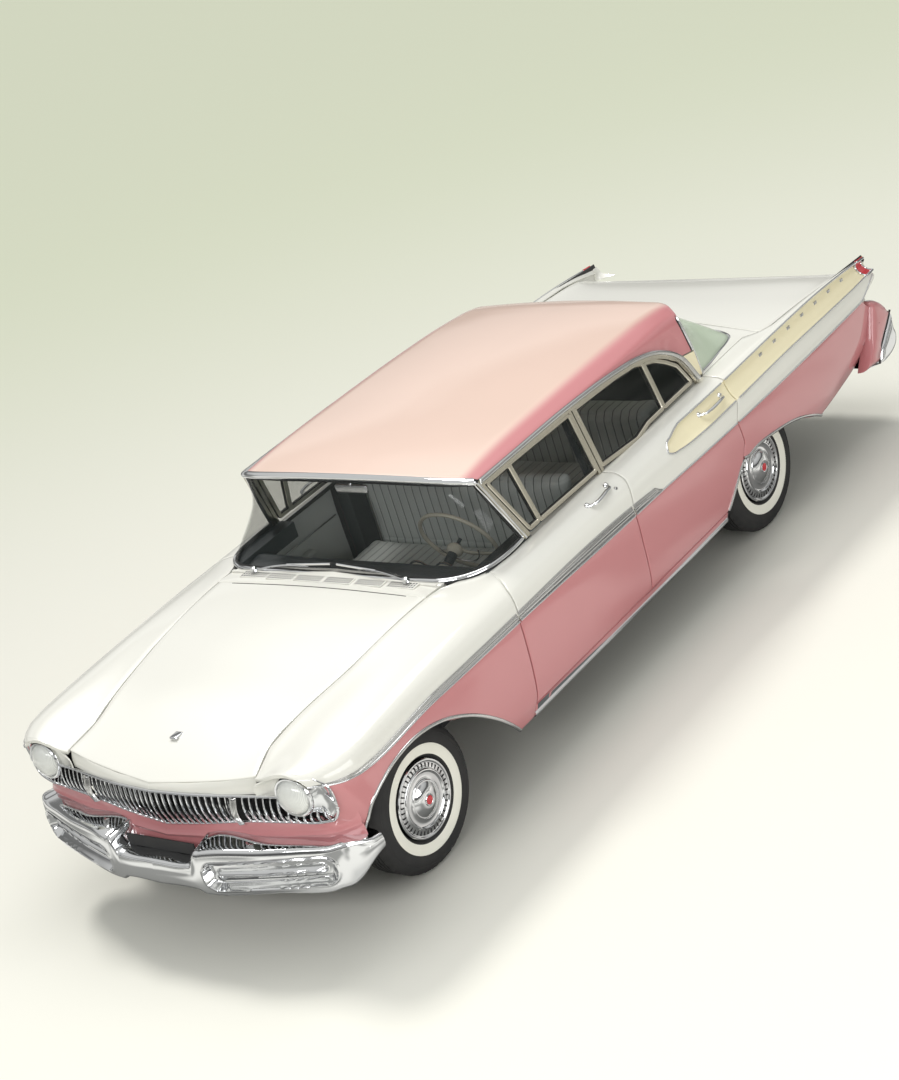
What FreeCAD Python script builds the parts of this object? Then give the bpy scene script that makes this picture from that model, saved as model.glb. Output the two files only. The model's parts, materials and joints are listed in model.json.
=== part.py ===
import FreeCAD, Part
import math
import os

# 1950s four-door sedan. Millimetres, +X is the car's left, the nose faces -Y, +Z up,
# the origin is on the ground under the middle of the overall length.

# ---- driving sizes ----
wheelbase = 3099.0
trackFront = 1509.0
trackRear = 1499.0
frontAxleY = -1808.0
rearAxleY = frontAxleY + wheelbase
tyreRadius = 343.0
tyreWidth = 200.0
rimRadius = 190.0
overallHalf = 2681.0
roofTop = 1435.0

skin = 20.0          # thickness of an outer panel
panelGap = 7.0       # gap round a door or lid
runFit = 0.05        # radial clearance of a pin in its bore
seatFit = 0.3        # clearance round a soft seat
glassT = 6.0

# ---- hinges ----
pinR = 6.0
knuckleR = 12.0
sweepR = 55.0        # reach of a door's edge in front of its pin
lipTop = 905.0       # where that edge has run back to the pin
doorPinX = 970.0
frontPinY = -990.0
rearPinY = 30.0
hingeZ = (470.0, 700.0)
lidPinY, lidPinZ = 1800.0, 960.0
lidPinX = 520.0
hoodPinY, hoodPinZ = -1128.0, 975.0
hoodPinX = 570.0

# ---- steering ----
kingpinX = 682.0
columnX = 380.0
wheelCentreY, wheelCentreZ = -590.0, 940.0
columnTilt = math.radians(24.0)
steerWheelR = 213.0

os.makedirs("parts", exist_ok=True)
V = FreeCAD.Vector
parts = {}


# ---- helpers ----
def box(x0, x1, y0, y1, z0, z1):
    return Part.makeBox(x1 - x0, y1 - y0, z1 - z0, V(x0, y0, z0))


def rod(p, axis, r, length):
    return Part.makeCylinder(r, length, V(*p), V(*axis))


def ring(p, axis, r, hole, length):
    return rod(p, axis, r, length).cut(rod(p, axis, hole, length))


def face(points):
    pts = [V(*p) for p in points]
    return Part.Face(Part.makePolygon(pts + [pts[0]]))


def prismX(points, x0, x1, slant=0.0, xRef=0.0):
    # side-view outline (y, z), drawn at xRef, carried outwards with y moving by slant
    shift = slant * (x0 - xRef)
    outline = face([(x0, y + shift, z) for y, z in points])
    return outline.extrude(V(x1 - x0, slant * (x1 - x0), 0))


def prismY(points, y0, y1):
    return face([(x, y0, z) for x, z in points]).extrude(V(0, y1 - y0, 0))


def prismZ(points, z0, z1):
    return face([(x, y, z0) for x, y in points]).extrude(V(0, 0, z1 - z0))


def mirrored(shape):
    return shape.mirror(V(0, 0, 0), V(1, 0, 0))


def both(shape):
    return shape.fuse(mirrored(shape))


def fused(shapes):
    out = shapes[0]
    if len(shapes) > 1:
        out = out.multiFuse(shapes[1:])
    return out.removeSplitter()


def group(shapes):
    return Part.makeCompound([s for shape in shapes for s in shape.Solids])


def add(name, shape):
    parts[name] = shape


def pair(name, shape):
    add(name + "_left", shape)
    add(name + "_right", mirrored(shape))


def closedSolid(corners):
    # a solid from the corner lists of its flat faces
    shell = Part.makeShell([Part.Face(Part.makePolygon(list(c) + [c[0]])) for c in corners])
    shell.sewShape()
    solid = Part.Solid(shell)
    if solid.Volume < 0:
        solid.reverse()
    return solid


def facetLoft(rows):
    # through sections with as many corners each, in flat triangles, the same on both sides
    corners = [rows[0][::-1], rows[-1]]
    for a, b in zip(rows, rows[1:]):
        for i in range(len(a)):
            j = (i + 1) % len(a)
            if i < len(a) // 2:
                corners += [(a[i], a[j], b[j]), (a[i], b[j], b[i])]
            else:
                corners += [(a[i], a[j], b[i]), (a[j], b[j], b[i])]
    return closedSolid(corners)


def turned(profile, centre, axis, sides):
    # a ring of flats from a closed profile (distance along the axis, radius to a flat), a flat at the bottom
    centre, axis = V(*centre), V(*axis)
    out = V(0, 0, -1) if abs(axis.z) < 0.5 else V(1, 0, 0)
    out = (out - axis * out.dot(axis)).normalize()
    aside = axis.cross(out)
    rows = []
    for k in range(sides):
        a = 2 * math.pi * (k + 0.5) / sides
        ray = (out * math.cos(a) + aside * math.sin(a)) * (1 / math.cos(math.pi / sides))
        rows.append([centre + axis * d + ray * r for d, r in profile])
    corners = []
    for i, (d, r) in enumerate(profile):
        j = (i + 1) % len(profile)
        reach = profile[j][1]
        if r == 0 and reach == 0:
            continue
        for k in range(sides):
            a, b = rows[k], rows[(k + 1) % sides]
            if r == 0:
                corners.append((a[i], a[j], b[j]))
            elif reach == 0:
                corners.append((a[i], a[j], b[i]))
            else:
                corners.append((a[i], a[j], b[j], b[i]))
    return closedSolid(corners)


def bar(start, end, r, sides=12):
    # a round bar that nothing turns on, in flats
    start, end = V(*start), V(*end)
    length = (end - start).Length
    axis = (end - start) * (1 / length)
    return turned([(0, 0), (length, 0), (length, r), (0, r)][::-1], start, axis, sides)


# ---- body surface: half sections, bottom edge to roof-less top ----
# y, bottom (x, z), lower side, widest, shoulder start, crown, deck edge, centre height
bodyStations = [
    (-2600, (850, 545), (890, 630), (920, 795), (895, 852), (800, 888), (600, 785), 785),
    (-2400, (940, 500), (968, 620), (985, 812), (962, 880), (815, 915), (588, 850), 868),
    (-2200, (955, 470), (985, 610), (995, 808), (966, 895), (830, 940), (580, 912), 930),
    (-1800, (962, 400), (990, 560), (1000, 804), (968, 910), (855, 965), (612, 968), 985),
    (-1200, (950, 315), (988, 430), (1003, 803), (968, 915), (880, 975), (650, 1010), 1032),
    (-950, (945, 312), (988, 420), (1003, 798), (967, 913), (892, 968), (795, 982), 1030),
    (0, (945, 312), (988, 420), (1003, 785), (966, 905), (902, 960), (795, 978), 985),
    (1000, (945, 330), (988, 440), (1003, 771), (985, 864), (915, 970), (820, 985), 990),
    (1550, (945, 355), (985, 475), (1003, 775), (985, 872), (920, 989), (860, 992), 1000),
    (2050, (930, 400), (976, 500), (1000, 777), (985, 872), (920, 993), (872, 966), 975),
    (2400, (900, 440), (960, 540), (990, 777), (980, 870), (916, 972), (868, 928), 925),
    (2655, (850, 480), (925, 560), (965, 777), (965, 864), (910, 950), (858, 860), 850),
]


def bodySection(row, inset):
    y, bottom, low, wide, shoulder, crown, deck, top = row
    t = inset
    pts = [
        (bottom[0] - t, bottom[1] + t),
        (low[0] - t, low[1]),
        (wide[0] - t, wide[1]),
        (shoulder[0] - t, shoulder[1] - t * 0.5),
        (crown[0] - t * 0.5, crown[1] - t),
        (deck[0], deck[1] - t),
        (0, top - t),
    ]
    half = [V(x, y, z) for x, z in pts]
    return half + [V(-p.x, p.y, p.z) for p in half[-2::-1]]


def bodyLoft(inset, trim=0.0):
    rows = list(bodyStations)
    if trim:
        rows[0] = (rows[0][0] + trim,) + rows[0][1:]
        rows[-1] = (rows[-1][0] - trim,) + rows[-1][1:]
    return facetLoft([bodySection(r, inset) for r in rows])


# plan-view front edge of the metalwork, left half
nosePlan = [(0, -2550), (590, -2455), (880, -2430), (960, -2330)]
noseTool = prismZ(
    [(x, y) for x, y in nosePlan] + [(1100, -2200), (1100, -2800), (0, -2800)], 200, 1100
)
noseTool = both(noseTool)
body = bodyLoft(0).cut(noseTool)
inner = bodyLoft(skin, skin)
shell = body.cut(inner)

left = box(0, 1200, -3000, 3000, 0, 1500)

# ---- side cut lines (y, z) ----
frontArch = [
    (-2300, 200), (-2290, 480), (-2270, 550), (-2230, 624), (-2132, 690), (-1990, 730), (-1880, 732),
    (-1716, 700), (-1527, 612), (-1367, 490), (-1215, 333), (-1190, 200),
]
rearArch = [
    (700, 200), (744, 325), (834, 464), (911, 533), (1000, 558), (1081, 565), (1301, 548),
    (1536, 500), (1775, 396), (1840, 200),
]
doorFloorZ = 378.0
frontDoorOutline = [
    (-1150, doorFloorZ), (31, doorFloorZ), (31, 892), (101, 948), (101, 1010), (-865, 1010), (-870, 985),
    (-963, 955), (-1150, 955),
]
rearDoorOutline = [
    (-60, doorFloorZ), (755, doorFloorZ), (820, 464), (900, 540), (958, 575), (999, 643), (985, 770),
    (1051, 868), (1067, 980), (1067, 1010), (109, 1010), (109, 946), (39, 888), (-60, 888),
]
slant = 0.25


def hingeSolid(pinY, extra):
    # everything a door's front edge may sweep round its pin
    low = rod((doorPinX, pinY, 200), (0, 0, 1), sweepR + extra, 590)
    top = Part.makeCone(sweepR + extra, 1.0 + extra, lipTop - 790, V(doorPinX, pinY, 790), V(0, 0, 1))
    return low.fuse(top)


def behind(pinY):
    return box(600, 1100, pinY, pinY + 1300, 200, 1100)


# ---- doors ----
def doorBody(outline, pinY):
    door = body.common(prismX(outline, 700, 1100, slant, 1000))
    reach = behind(pinY).fuse(hingeSolid(pinY, 0))
    door = door.common(reach)
    # the inside of the door box
    trim = prismY([(650, 300), (893, 300), (893, 905), (770, 940), (770, 1100), (650, 1100)], -1300, 1300)
    door = door.cut(trim).cut(box(600, 803, -1200, -548, 880, 1100))
    # pocket for the hinge: only the skin runs in front of the pin
    pocket = inner.common(box(600, 1100, pinY - 140, pinY + 40, 200, 905))
    return door.cut(pocket)


def doorHinges(pinY):
    leaves, pins = [], []
    for z in hingeZ:
        knuckle = rod((doorPinX, pinY, z + 16), (0, 0, 1), knuckleR, 44)
        arm = box(doorPinX - 10, doorPinX + 12, pinY, pinY + 42, z + 18, z + 58)
        leaves.append(knuckle.fuse(arm).cut(rod((doorPinX, pinY, z), (0, 0, 1), pinR + runFit, 90)))
        ear = box(878, doorPinX, pinY - 10, pinY + 10, z, z + 15)
        ear = ear.fuse(rod((doorPinX, pinY, z), (0, 0, 1), 10, 15))
        pins.append(ear.fuse(rod((doorPinX, pinY, z), (0, 0, 1), pinR, 60)))
    return leaves, pins


def sidePlane(z):
    # glass line of the side windows
    return 800.0 - (z - 985.0) * 75.0 / 330.0


def leaning(points, thick, offset=0.0, run=slant):
    # a plate in the leaning plane of the side glass
    outline = face([(sidePlane(z) + offset - thick / 2, y, z) for y, z in points])
    return outline.extrude(V(thick, run * thick, 0))


frontFrame = [(-562, 975), (-706, 1322), (-640, 1326), (43, 1320), (43, 975)]
frontHoles = [
    [(-556, 1012), (-668, 1302), (-500, 1302), (-480, 1012)],
    [(-462, 1008), (-482, 1303), (22, 1294), (22, 1002)],
]
rearFrame = [(62, 975), (62, 1320), (440, 1304), (618, 1290), (790, 1244), (930, 1140), (985, 1000), (985, 975)]
rearHoles = [
    [(86, 1002), (86, 1296), (440, 1282), (610, 1266), (668, 1248), (668, 1008)],
    [(688, 1008), (688, 1240), (770, 1214), (908, 1120), (955, 1010)],
]


def windowFrame(outline, holes):
    frame = leaning(outline, 30)
    for hole in holes:
        frame = frame.cut(leaning(hole, 60, 0, 0))
    return frame


def windowPanes(holes):
    # set in 4 mm grooves all round, so the panes are a little larger than the openings
    return [leaning(hole, glassT, 0, 0) for hole in holes]


def makeDoor(name, outline, pinY, frame, holes, windows):
    leaves, pins = doorHinges(pinY)
    door = fused([doorBody(outline, pinY), windows] + leaves)
    clear = [box(860, doorPinX + 13, pinY - 36, pinY + 13, z - 6, z + 15.5) for z in hingeZ]
    clear += [rod((doorPinX, pinY, z), (0, 0, 1), pinR + runFit, 66) for z in hingeZ]
    for c in clear:
        door = door.cut(c)
    pair(name, door)
    pair(name + "_glass", group(windowPanes(holes)))
    return pins


frontPins = makeDoor("door_front", frontDoorOutline, frontPinY, frontFrame, frontHoles,
                     windowFrame(frontFrame, frontHoles))
rearPins = makeDoor("door_rear", rearDoorOutline, rearPinY, rearFrame, rearHoles,
                    windowFrame(rearFrame, rearHoles))


def shutFace(z, y0, y1):
    # plan of what is cut away: y0 at the skin, y1 further in
    return [V(x, y, z) for x, y in ((1020, y0 + 6), (955, y1), (600, y1), (600, 200), (1020, 200))]


# the front door stops short of the rear door's sweeping edge
shutLow, shutHigh = (-24.0, -41.0), (19.0, 5.0)
shutGap = facetLoft([shutFace(200, *shutLow), shutFace(790, *shutLow), shutFace(lipTop, *shutHigh)])
parts["door_front_left"] = parts["door_front_left"].cut(shutGap)


def sliced(shape, levels):
    # the same shape as convex-ended layers, one on the other
    floors = [0.0] + list(levels) + [1500.0]
    return group([shape.common(box(-1200, 1200, -3000, 3000, a, b)) for a, b in zip(floors, floors[1:])])


doorLevels = {"door_front": (790.0, lipTop, 947.0, 975.0), "door_rear": (947.0, 975.0)}
for name, levels in doorLevels.items():
    pair(name, sliced(parts[name + "_left"], levels))

# ---- front fenders ----
wheelOpening = prismX(frontArch, 500, 1100)
hoodOutline = [(0, -2700), (590, -2700), (570, -2430), (540, -2287), (566, -2081), (612, -1755), (649, -1150),
               (0, -1150)]
hoodHole = prismZ([(0, -2700), (596, -2700), (576, -2430), (546, -2287), (572, -2081), (618, -1755),
                   (656, -1197), (656, -800), (0, -800)], 700, 1100)
fenderOutline = [(-2700, 200), (frontPinY, 200), (frontPinY, 962), (-967, 962), (-877, 989), (-872, 1100),
                 (-2700, 1100)]
fender = shell.common(left).common(prismX(fenderOutline, 400, 1100, slant, 1000))
fender = fender.cut(wheelOpening).cut(hoodHole).cut(hingeSolid(frontPinY, panelGap))
fender = fender.cut(prismZ([(0, -2700), (760, -2700), (760, -2000), (700, -1400), (700, -1250), (872, -1250), (872, -300),
                            (0, -300)], 200, 860))
gutter = prismZ([(576, -2330), (546, -2287), (572, -2081), (618, -1755), (640, -1300), (700, -1300), (700, -2330)],
                838, 852)
gutter = gutter.fuse(box(700, 962, -2330, -2312, 560, 845)).common(body)
hoodLedge = inner.common(prismZ([(579, -2420), (549, -2287), (575, -2081), (621, -1755), (652, -1300),
                                 (690, -1300), (660, -1755), (620, -2081), (600, -2287), (625, -2420)], 838, 1000))
fender = fused([fender, gutter, hoodLedge])
fender = fender.cut(box(400, 1100, -2700, -2312, 640, 790).common(prismZ(
    [(560, -2700), (560, -2380), (905, -2380), (905, -2700)], 600, 900)))
pair("front_fender", fender.cut(wheelOpening))
innerFender = box(452, 470, -2312, -1210, 420, 838).fuse(box(470, 690, -2312, -1300, 820, 838))
pair("inner_fender", innerFender.cut(box(400, 700, -1960, -1656, 300, 450)))

# ---- hood ----
def shutWedge(y):
    # behind the hood's sloping rear edge
    k = 1.2
    return prismX([(y + k * 100, 1115), (y - k * 100, 915), (-900, 915), (-900, 1115)], -700, 700)


hood = body.common(both(prismZ(hoodOutline, 700, 1100)))
hood = hood.cut(bodyLoft(28))
hood = hood.cut(box(-1200, 1200, -2700, -2400, 700, 779))
hood = hood.cut(shutWedge(-1203))
hoodArm = []
neck = 75.0          # how far the hood's arms drop to pass under the cowl
for side in (1, -1):
    x = side * hoodPinX
    outline = [(12, 0), (12, -neck - 12), (-170, -neck - 12), (-170, 14), (-146, 14), (-146, -neck + 12),
               (-12, -neck + 12), (-12, 0)]
    arm = prismX([(hoodPinY + y, hoodPinZ + z) for y, z in outline], x - 6, x + 6)
    arm = arm.fuse(rod((x - 6, hoodPinY, hoodPinZ), (1, 0, 0), knuckleR, 12))
    hoodArm.append(arm.cut(rod((x - 20, hoodPinY, hoodPinZ), (1, 0, 0), pinR + runFit, 40)))
hood = fused([hood] + hoodArm)
add("hood", hood)

# ---- glass that wraps round the corners ----
bendSteps = 5        # flats round each bend of the glass


def wrapLoop(z, side, corner, front, middle, sign):
    # a band of glass seen from above, as one closed loop: along one side, round the bend, across to the other
    def half(t):
        b, c = V(corner[0] - t, corner[1], z), V(front[0] - t * 0.4, front[1] + t * sign, z)
        bulge = V(abs(c.y - b.y), -sign * abs(c.x - b.x), 0) * 0.32
        pull = (b + c) * 0.5 + bulge
        bend = [b * (1 - u) ** 2 + pull * (2 * u * (1 - u)) + c * u ** 2
                for u in (k / bendSteps for k in range(bendSteps + 1))]
        return [V(side[0] - t, side[1], z)] + bend + [V(0, middle + t * sign, z)]

    def across(points):
        return points + [V(-p.x, p.y, p.z) for p in points[-2::-1]]
    return across(half(0)) + across(half(glassT))[::-1]


windscreen = facetLoft([
    wrapLoop(985, (800, -610), (803, -850), (640, -1072), -1092, 1.0),
    wrapLoop(1362, (722, -742), (716, -752), (660, -778), -790, 1.0)])
glassBlock = windscreen.fuse(box(-780, 780, -1050, -600, 985, 1360))
windscreen = windscreen.cut(body).cut(box(-1200, 1200, -945, -500, 900, 991))
backlight = facetLoft([
    wrapLoop(985, (772, 1128), (735, 1480), (640, 1572), 1650, -1.0),
    wrapLoop(1345, (702, 1104), (694, 1120), (600, 1165), 1182, -1.0)])
backlight = backlight.cut(body)

# ---- roof with its posts ----
# y, lower edge (x, z), rail (x, z), crease (x, z), centre height
roofStations = [
    (-768, (728, 1338), (726, 1352), (690, 1374), 1394),
    (-600, (735, 1338), (734, 1356), (682, 1390), 1413),
    (0, (738, 1334), (737, 1354), (674, 1400), roofTop - 1),
    (600, (735, 1305), (728, 1340), (664, 1392), 1428),
    (850, (745, 1235), (722, 1330), (655, 1384), 1415),
    (1000, (755, 1130), (716, 1318), (645, 1374), 1402),
    (1095, (758, 1110), (712, 1308), (636, 1366), 1390),
    (1198, (690, 1282), (680, 1294), (600, 1345), 1362),
]


def roofSection(row, t):
    y, low, rail, crease, top = row
    drop = 60 if t else 0
    pts = [(low[0] - t, low[1] - drop), (rail[0] - t, rail[1] - t * 0.3), (crease[0] - t * 0.4, crease[1] - t * 0.9),
           (0, top - t)]
    half = [V(x, y, z) for x, z in pts]
    return half + [V(-p.x, p.y, p.z) for p in half[-2::-1]]


roofOuter = facetLoft([roofSection(r, 0) for r in roofStations])
roofInner = facetLoft([roofSection(r, 26) for r in roofStations])
roofShell = roofOuter.cut(roofInner)
header = roofOuter.common(box(-800, 800, -768, -738, 1335, 1440))
rearHeader = roofOuter.common(box(-800, 800, 1165, 1198, 1290, 1440))


def post(base, top, w, d):
    def rect(c):
        x, y, z = c
        return Part.makePolygon([V(x - w, y - d, z), V(x + w, y - d, z), V(x + w, y + d, z), V(x - w, y + d, z),
                                 V(x - w, y - d, z)])
    return Part.makeLoft([rect(base), rect(top)], True, True)


frontPost = post((778, -592, 978), (712, -744, 1345), 15, 16)
rearPost = leaning([(1006, 997), (1078, 997), (1078, 980), (1140, 980), (1096, 1160), (960, 1160)], 26)
roof = fused([roofShell, header, rearHeader, both(frontPost), both(rearPost)])
roof = roof.cut(box(-900, 900, 1100, 1300, 900, 1288).cut(both(rearPost)))
roof = roof.cut(windscreen).cut(backlight).cut(body)
roof = max(roof.Solids, key=lambda solid: solid.Volume)
add("roof", roof)

# ---- cowl ----
cowl = shell.common(shutWedge(-1194)).common(box(-649, 649, -1300, -1050, 900, 1100))
cowl = fused([cowl, box(-640, 640, -1112, -1096, 850, 1015)])
for side in (1, -1):
    x = side * hoodPinX
    ears = [box(x + a, x + a + 10, hoodPinY, -1096, hoodPinZ - 10, hoodPinZ + 10).fuse(
        rod((x + a, hoodPinY, hoodPinZ), (1, 0, 0), 10, 10)) for a in (10, -20)]
    cowl = cowl.cut(box(x - 22, x + 22, -1148, -1112, 900, hoodPinZ + knuckleR + 6))
    cowl = cowl.fuse(ears[0]).fuse(ears[1]).fuse(rod((x - 20, hoodPinY, hoodPinZ), (1, 0, 0), pinR, 40))
fenderSolids = parts["front_fender_left"].fuse(parts["front_fender_right"])
cowl = cowl.cut(glassBlock).cut(fenderSolids)
add("cowl", cowl)
add("windshield", windscreen)

# ---- side frames: sill, hinge post with dogleg, centre post ----
pillarX = 882.0
sill = body.common(box(800, 1100, -1084, 752, 300, doorFloorZ - panelGap)).cut(wheelOpening)
hingePost = box(770, pillarX, -1084, -930, doorFloorZ - panelGap, 895)
dogleg = box(700, 795, -1084, -560, 895, 980)
centrePost = fused([
    box(800, pillarX, rearPinY - 62, rearPinY + 62, doorFloorZ - panelGap, 885),
    prismY([(800, 885), (pillarX, 885), (754, 940), (690, 1334), (650, 1334), (715, 940)], 38, 78),
])
sideFrame = fused([sill, hingePost, dogleg, centrePost] + frontPins + rearPins)
frameCutters = [parts["front_fender_left"], parts["cowl"], roof, windscreen, parts["door_front_left"]]
for cutter in frameCutters:
    sideFrame = sideFrame.cut(cutter)
pair("side_frame", sideFrame)

# ---- rear quarters, deck, boot lid, tail panel ----
quarterOutline = [
    (965, 300), (965, 575), (1006, 643), (992, 770), (1058, 868), (1074, 980), (1074, 1100), (2632, 1100),
    (2632, 955), (2600, 847), (2392, 777), (2462, 750), (2583, 676), (2655, 589), (2654, 522), (2509, 503),
    (2350, 429), (1829, 366), (1700, 300),
]
lidPlan = [(0, 1740), (368, 1703), (845, 1582), (868, 1640), (880, 2279), (866, 2700), (0, 2700)]
lidRake = 0.35       # how the lid's front face leans forward going down


def lidTool(gap):
    # the lid's plan as a block, with gap added round its front and sides
    def level(z):
        def at(x, y):
            if y < 1750:
                y = y - gap - lidRake * (985 - z)
            return x + (gap if x else 0), y
        half = [at(x, y) for x, y in lidPlan]
        loop = half + [(-x, y) for x, y in half[-2:0:-1]]
        return Part.makePolygon([V(x, y, z) for x, y in loop + [loop[0]]])
    return Part.makeLoft([level(684), level(1100)], True, True)


lidHole = lidTool(panelGap + 0.8)
deckPlan = [(0, 1010), (752, 1010), (752, 1080), (790, 1080), (790, 1700), (0, 1740)]
quarter = shell.common(left).common(prismX(quarterOutline, 300, 1100, slant, 1000))
quarter = quarter.cut(prismX(rearArch, 500, 1100)).cut(lidHole)
quarter = quarter.cut(box(-1, 790, 700, 1640, 0, 1100)).cut(box(-1, 840, 1600, 2700, 0, 1100))
houseR = 405.0
wheelHouse = rod((618, rearAxleY, tyreRadius), (1, 0, 0), houseR + 8, 400)
wheelHouse = wheelHouse.cut(rod((626, rearAxleY, tyreRadius), (1, 0, 0), houseR, 400))
wheelHouse = wheelHouse.cut(box(600, 1100, 800, 1800, -200, 470)).common(inner)
wheelHouse = wheelHouse.cut(box(600, 1100, 800, 1014, 400, 800))
quarter = fused([quarter, wheelHouse])
pair("quarter_panel", quarter)
deck = shell.common(both(prismZ(deckPlan, 900, 1100))).cut(lidHole)
lidBeam = box(-990, 990, lidPinY - 19, lidPinY + 19, 880, 892).common(inner)
lidOutline = [(1500, 690), (1500, 1100), (2380, 1100), (2440, 925), (2545, 875), (2592, 800), (2600, 690)]
lid = body.common(prismX(lidOutline, -1000, 1000))
lidInside = bodyLoft(25).common(prismX([(1400, 600), (1400, 1100), (2360, 1100), (2425, 905), (2525, 858),
                                        (2567, 795), (2575, 600)], -1000, 1000))
lid = lid.cut(lidInside).common(lidTool(0.0)).common(box(-1000, 1000, 1400, 2700, 690, 1100))
lidArms = []
for side in (1, -1):
    x = side * lidPinX
    # a pocket for the hinge's ears, then the eye that hangs in it
    lid = lid.cut(box(x - 26, x + 26, lidPinY - 42, lidPinY + 18, 900, lidPinZ + 12))
    eye = rod((x - 8, lidPinY, lidPinZ), (1, 0, 0), knuckleR, 16)
    eye = eye.fuse(box(x - 8, x + 8, lidPinY - 2, lidPinY + 30, lidPinZ, lidPinZ + 16))
    lidArms.append(eye.cut(rod((x - 20, lidPinY, lidPinZ), (1, 0, 0), pinR + runFit, 40)))
    ears = [box(x + a, x + a + 10, lidPinY - 9, lidPinY + 9, 890, lidPinZ).fuse(
        rod((x + a, lidPinY, lidPinZ), (1, 0, 0), 9, 10)) for a in (10, -20)]
    lidBeam = lidBeam.fuse(ears[0]).fuse(ears[1]).fuse(rod((x - 20, lidPinY, lidPinZ), (1, 0, 0), pinR, 40))
lid = fused([lid] + lidArms)
add("trunk_lid", lid)
add("rear_deck", group([deck.cut(backlight).cut(roof), lidBeam]))
add("rear_window", backlight)
tailPanel = box(-925, 925, 2560, 2580, 470, 684)
tailSide = box(850, 1000, 2396, 2580, 600, 862)
tailPanel = fused([tailPanel, both(tailSide).common(inner)]).common(inner)
tailPanel = tailPanel.cut(both(box(300, 844, 2000, 2570, 684, 900)))
tailPanel = tailPanel.cut(parts["quarter_panel_left"]).cut(parts["quarter_panel_right"]).cut(both(
    prismZ([(300, 2000), (878, 2000), (878, 2700), (300, 2700)], 684, 900)))
add("rear_panel", tailPanel)
tailLamp = inner.common(box(894, 1000, 2582, 2626, 846, 960)).cut(parts["quarter_panel_left"])
add("tail_lamps", group([tailLamp, mirrored(tailLamp)]))

# ---- floor, bulkheads and inner wells ----
floorZ = 342.0
floorT = 12.0
floor = box(-868, 868, -1100, 905, floorZ - floorT, floorZ)
firewall = box(-868, 868, -1100, -1088, floorZ - floorT, 850)
seatWall = box(-616, 616, 905, 917, floorZ - floorT, 500)
bootFloor = box(-616, 616, 905, 1740, 488, 500).fuse(box(-880, 880, 1740, 2560, 488, 500))
tunnel = prismY([(-130, floorZ), (-80, 450), (80, 450), (130, floorZ)], -1088, 905)
tunnel = tunnel.cut(prismY([(-116, floorZ - 20), (-72, 438), (72, 438), (116, floorZ - 20)], -1088, 920))
floor = floor.cut(box(-116, 116, -1200, 905, 300, 400))
floor = fused([floor, firewall, seatWall, bootFloor, tunnel]).cut(box(-60, 60, 900, 920, 330, 440))
for n in ("side_frame_left", "side_frame_right", "quarter_panel_left", "quarter_panel_right", "cowl", "rear_panel"):
    floor = floor.cut(parts[n])
add("floor_pan", floor)

# ---- chassis ----
railX0, railX1 = 300.0, 390.0
rails = []
for x0, x1 in ((railX0, railX1), (-railX1, -railX0)):
    rails.append(box(x0, x1, -2420, -1250, 300, 420))
    rails.append(prismX([(-1250, 300), (-1250, 420), (-1110, 330), (-1110, 210)], x0, x1))
    rails.append(box(x0, x1, -1110, 920, 210, 330))
    rails.append(prismX([(920, 210), (920, 330), (1040, 488), (1080, 488), (1080, 400)], x0, x1))
    rails.append(box(x0, x1, 1080, 2470, 400, 488))
crossMembers = [box(-300, 300, -2300, -2220, 300, 360), box(-300, 300, -1900, -1760, 300, 350),
                box(-300, 300, -500, -420, 240, 300), box(-300, 300, 600, 680, 240, 300),
                box(-300, 300, 2400, 2460, 410, 480)]
outriggers = [box(railX1, 868, y, y + 60, 262, 312) for y in (-1000, -300, 500)]
outriggers += [mirrored(o) for o in outriggers]
bumperArms = [box(310, 380, -2560, -2420, 340, 420), box(310, 380, 2470, 2600, 400, 470)]
bumperArms += [mirrored(o) for o in bumperArms]
frame = group(rails + crossMembers + outriggers + bumperArms)
add("chassis_frame", frame)
engine = fused([box(-210, 210, -2130, -1420, 420, 760), box(-110, 110, -1420, -1125, 420, 640),
                bar((0, -1850, 760), (0, -1850, 850), 180, 20), box(-120, 120, -1960, -1740, 350, 420)])
add("engine_block", engine.cut(floor))
add("radiator", box(-300, 300, -2330, -2300, 420, 800).fuse(box(-300, 300, -2300, -2220, 360, 420)))

# ---- running gear ----
hubZ = tyreRadius
frontHubX, rearHubX = trackFront / 2, trackRear / 2
spindleR, rearSpindleR = 20.0, 24.0
kingpinR = 12.0
knuckle = fused([
    box(kingpinX - 22, kingpinX + 18, frontAxleY - 26, frontAxleY + 26, hubZ - 50, hubZ + 50),
    rod((kingpinX + 10, frontAxleY, hubZ), (1, 0, 0), spindleR, 112),
])
knuckle = knuckle.cut(rod((kingpinX - 4, frontAxleY, hubZ - 60), (0, 0, 1), kingpinR + runFit, 120))
pair("knuckle", knuckle)
armLow = prismZ([(380, frontAxleY - 130), (380, frontAxleY + 130), (kingpinX - 16, frontAxleY + 18),
                 (kingpinX - 16, frontAxleY - 18)], hubZ - 76, hubZ - 56)
armHigh = prismZ([(400, frontAxleY - 80), (400, frontAxleY + 80), (kingpinX - 16, frontAxleY + 16),
                  (kingpinX - 16, frontAxleY - 16)], hubZ + 56, hubZ + 74)
ballLow = rod((kingpinX - 4, frontAxleY, hubZ - 76), (0, 0, 1), 20, 20)
ballHigh = rod((kingpinX - 4, frontAxleY, hubZ + 56), (0, 0, 1), 20, 18)
kingpin = rod((kingpinX - 4, frontAxleY, hubZ - 60), (0, 0, 1), kingpinR, 120)
upperBracket = box(390, 450, frontAxleY - 80, frontAxleY + 80, 399, hubZ + 90)
armSet = fused([armLow, armHigh, ballLow, ballHigh, kingpin, upperBracket, bar((425, frontAxleY, 280), (425, frontAxleY, 410), 24)])
suspension = group([armSet.cut(frame), mirrored(armSet.cut(frame))])
add("front_suspension", suspension)

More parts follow.
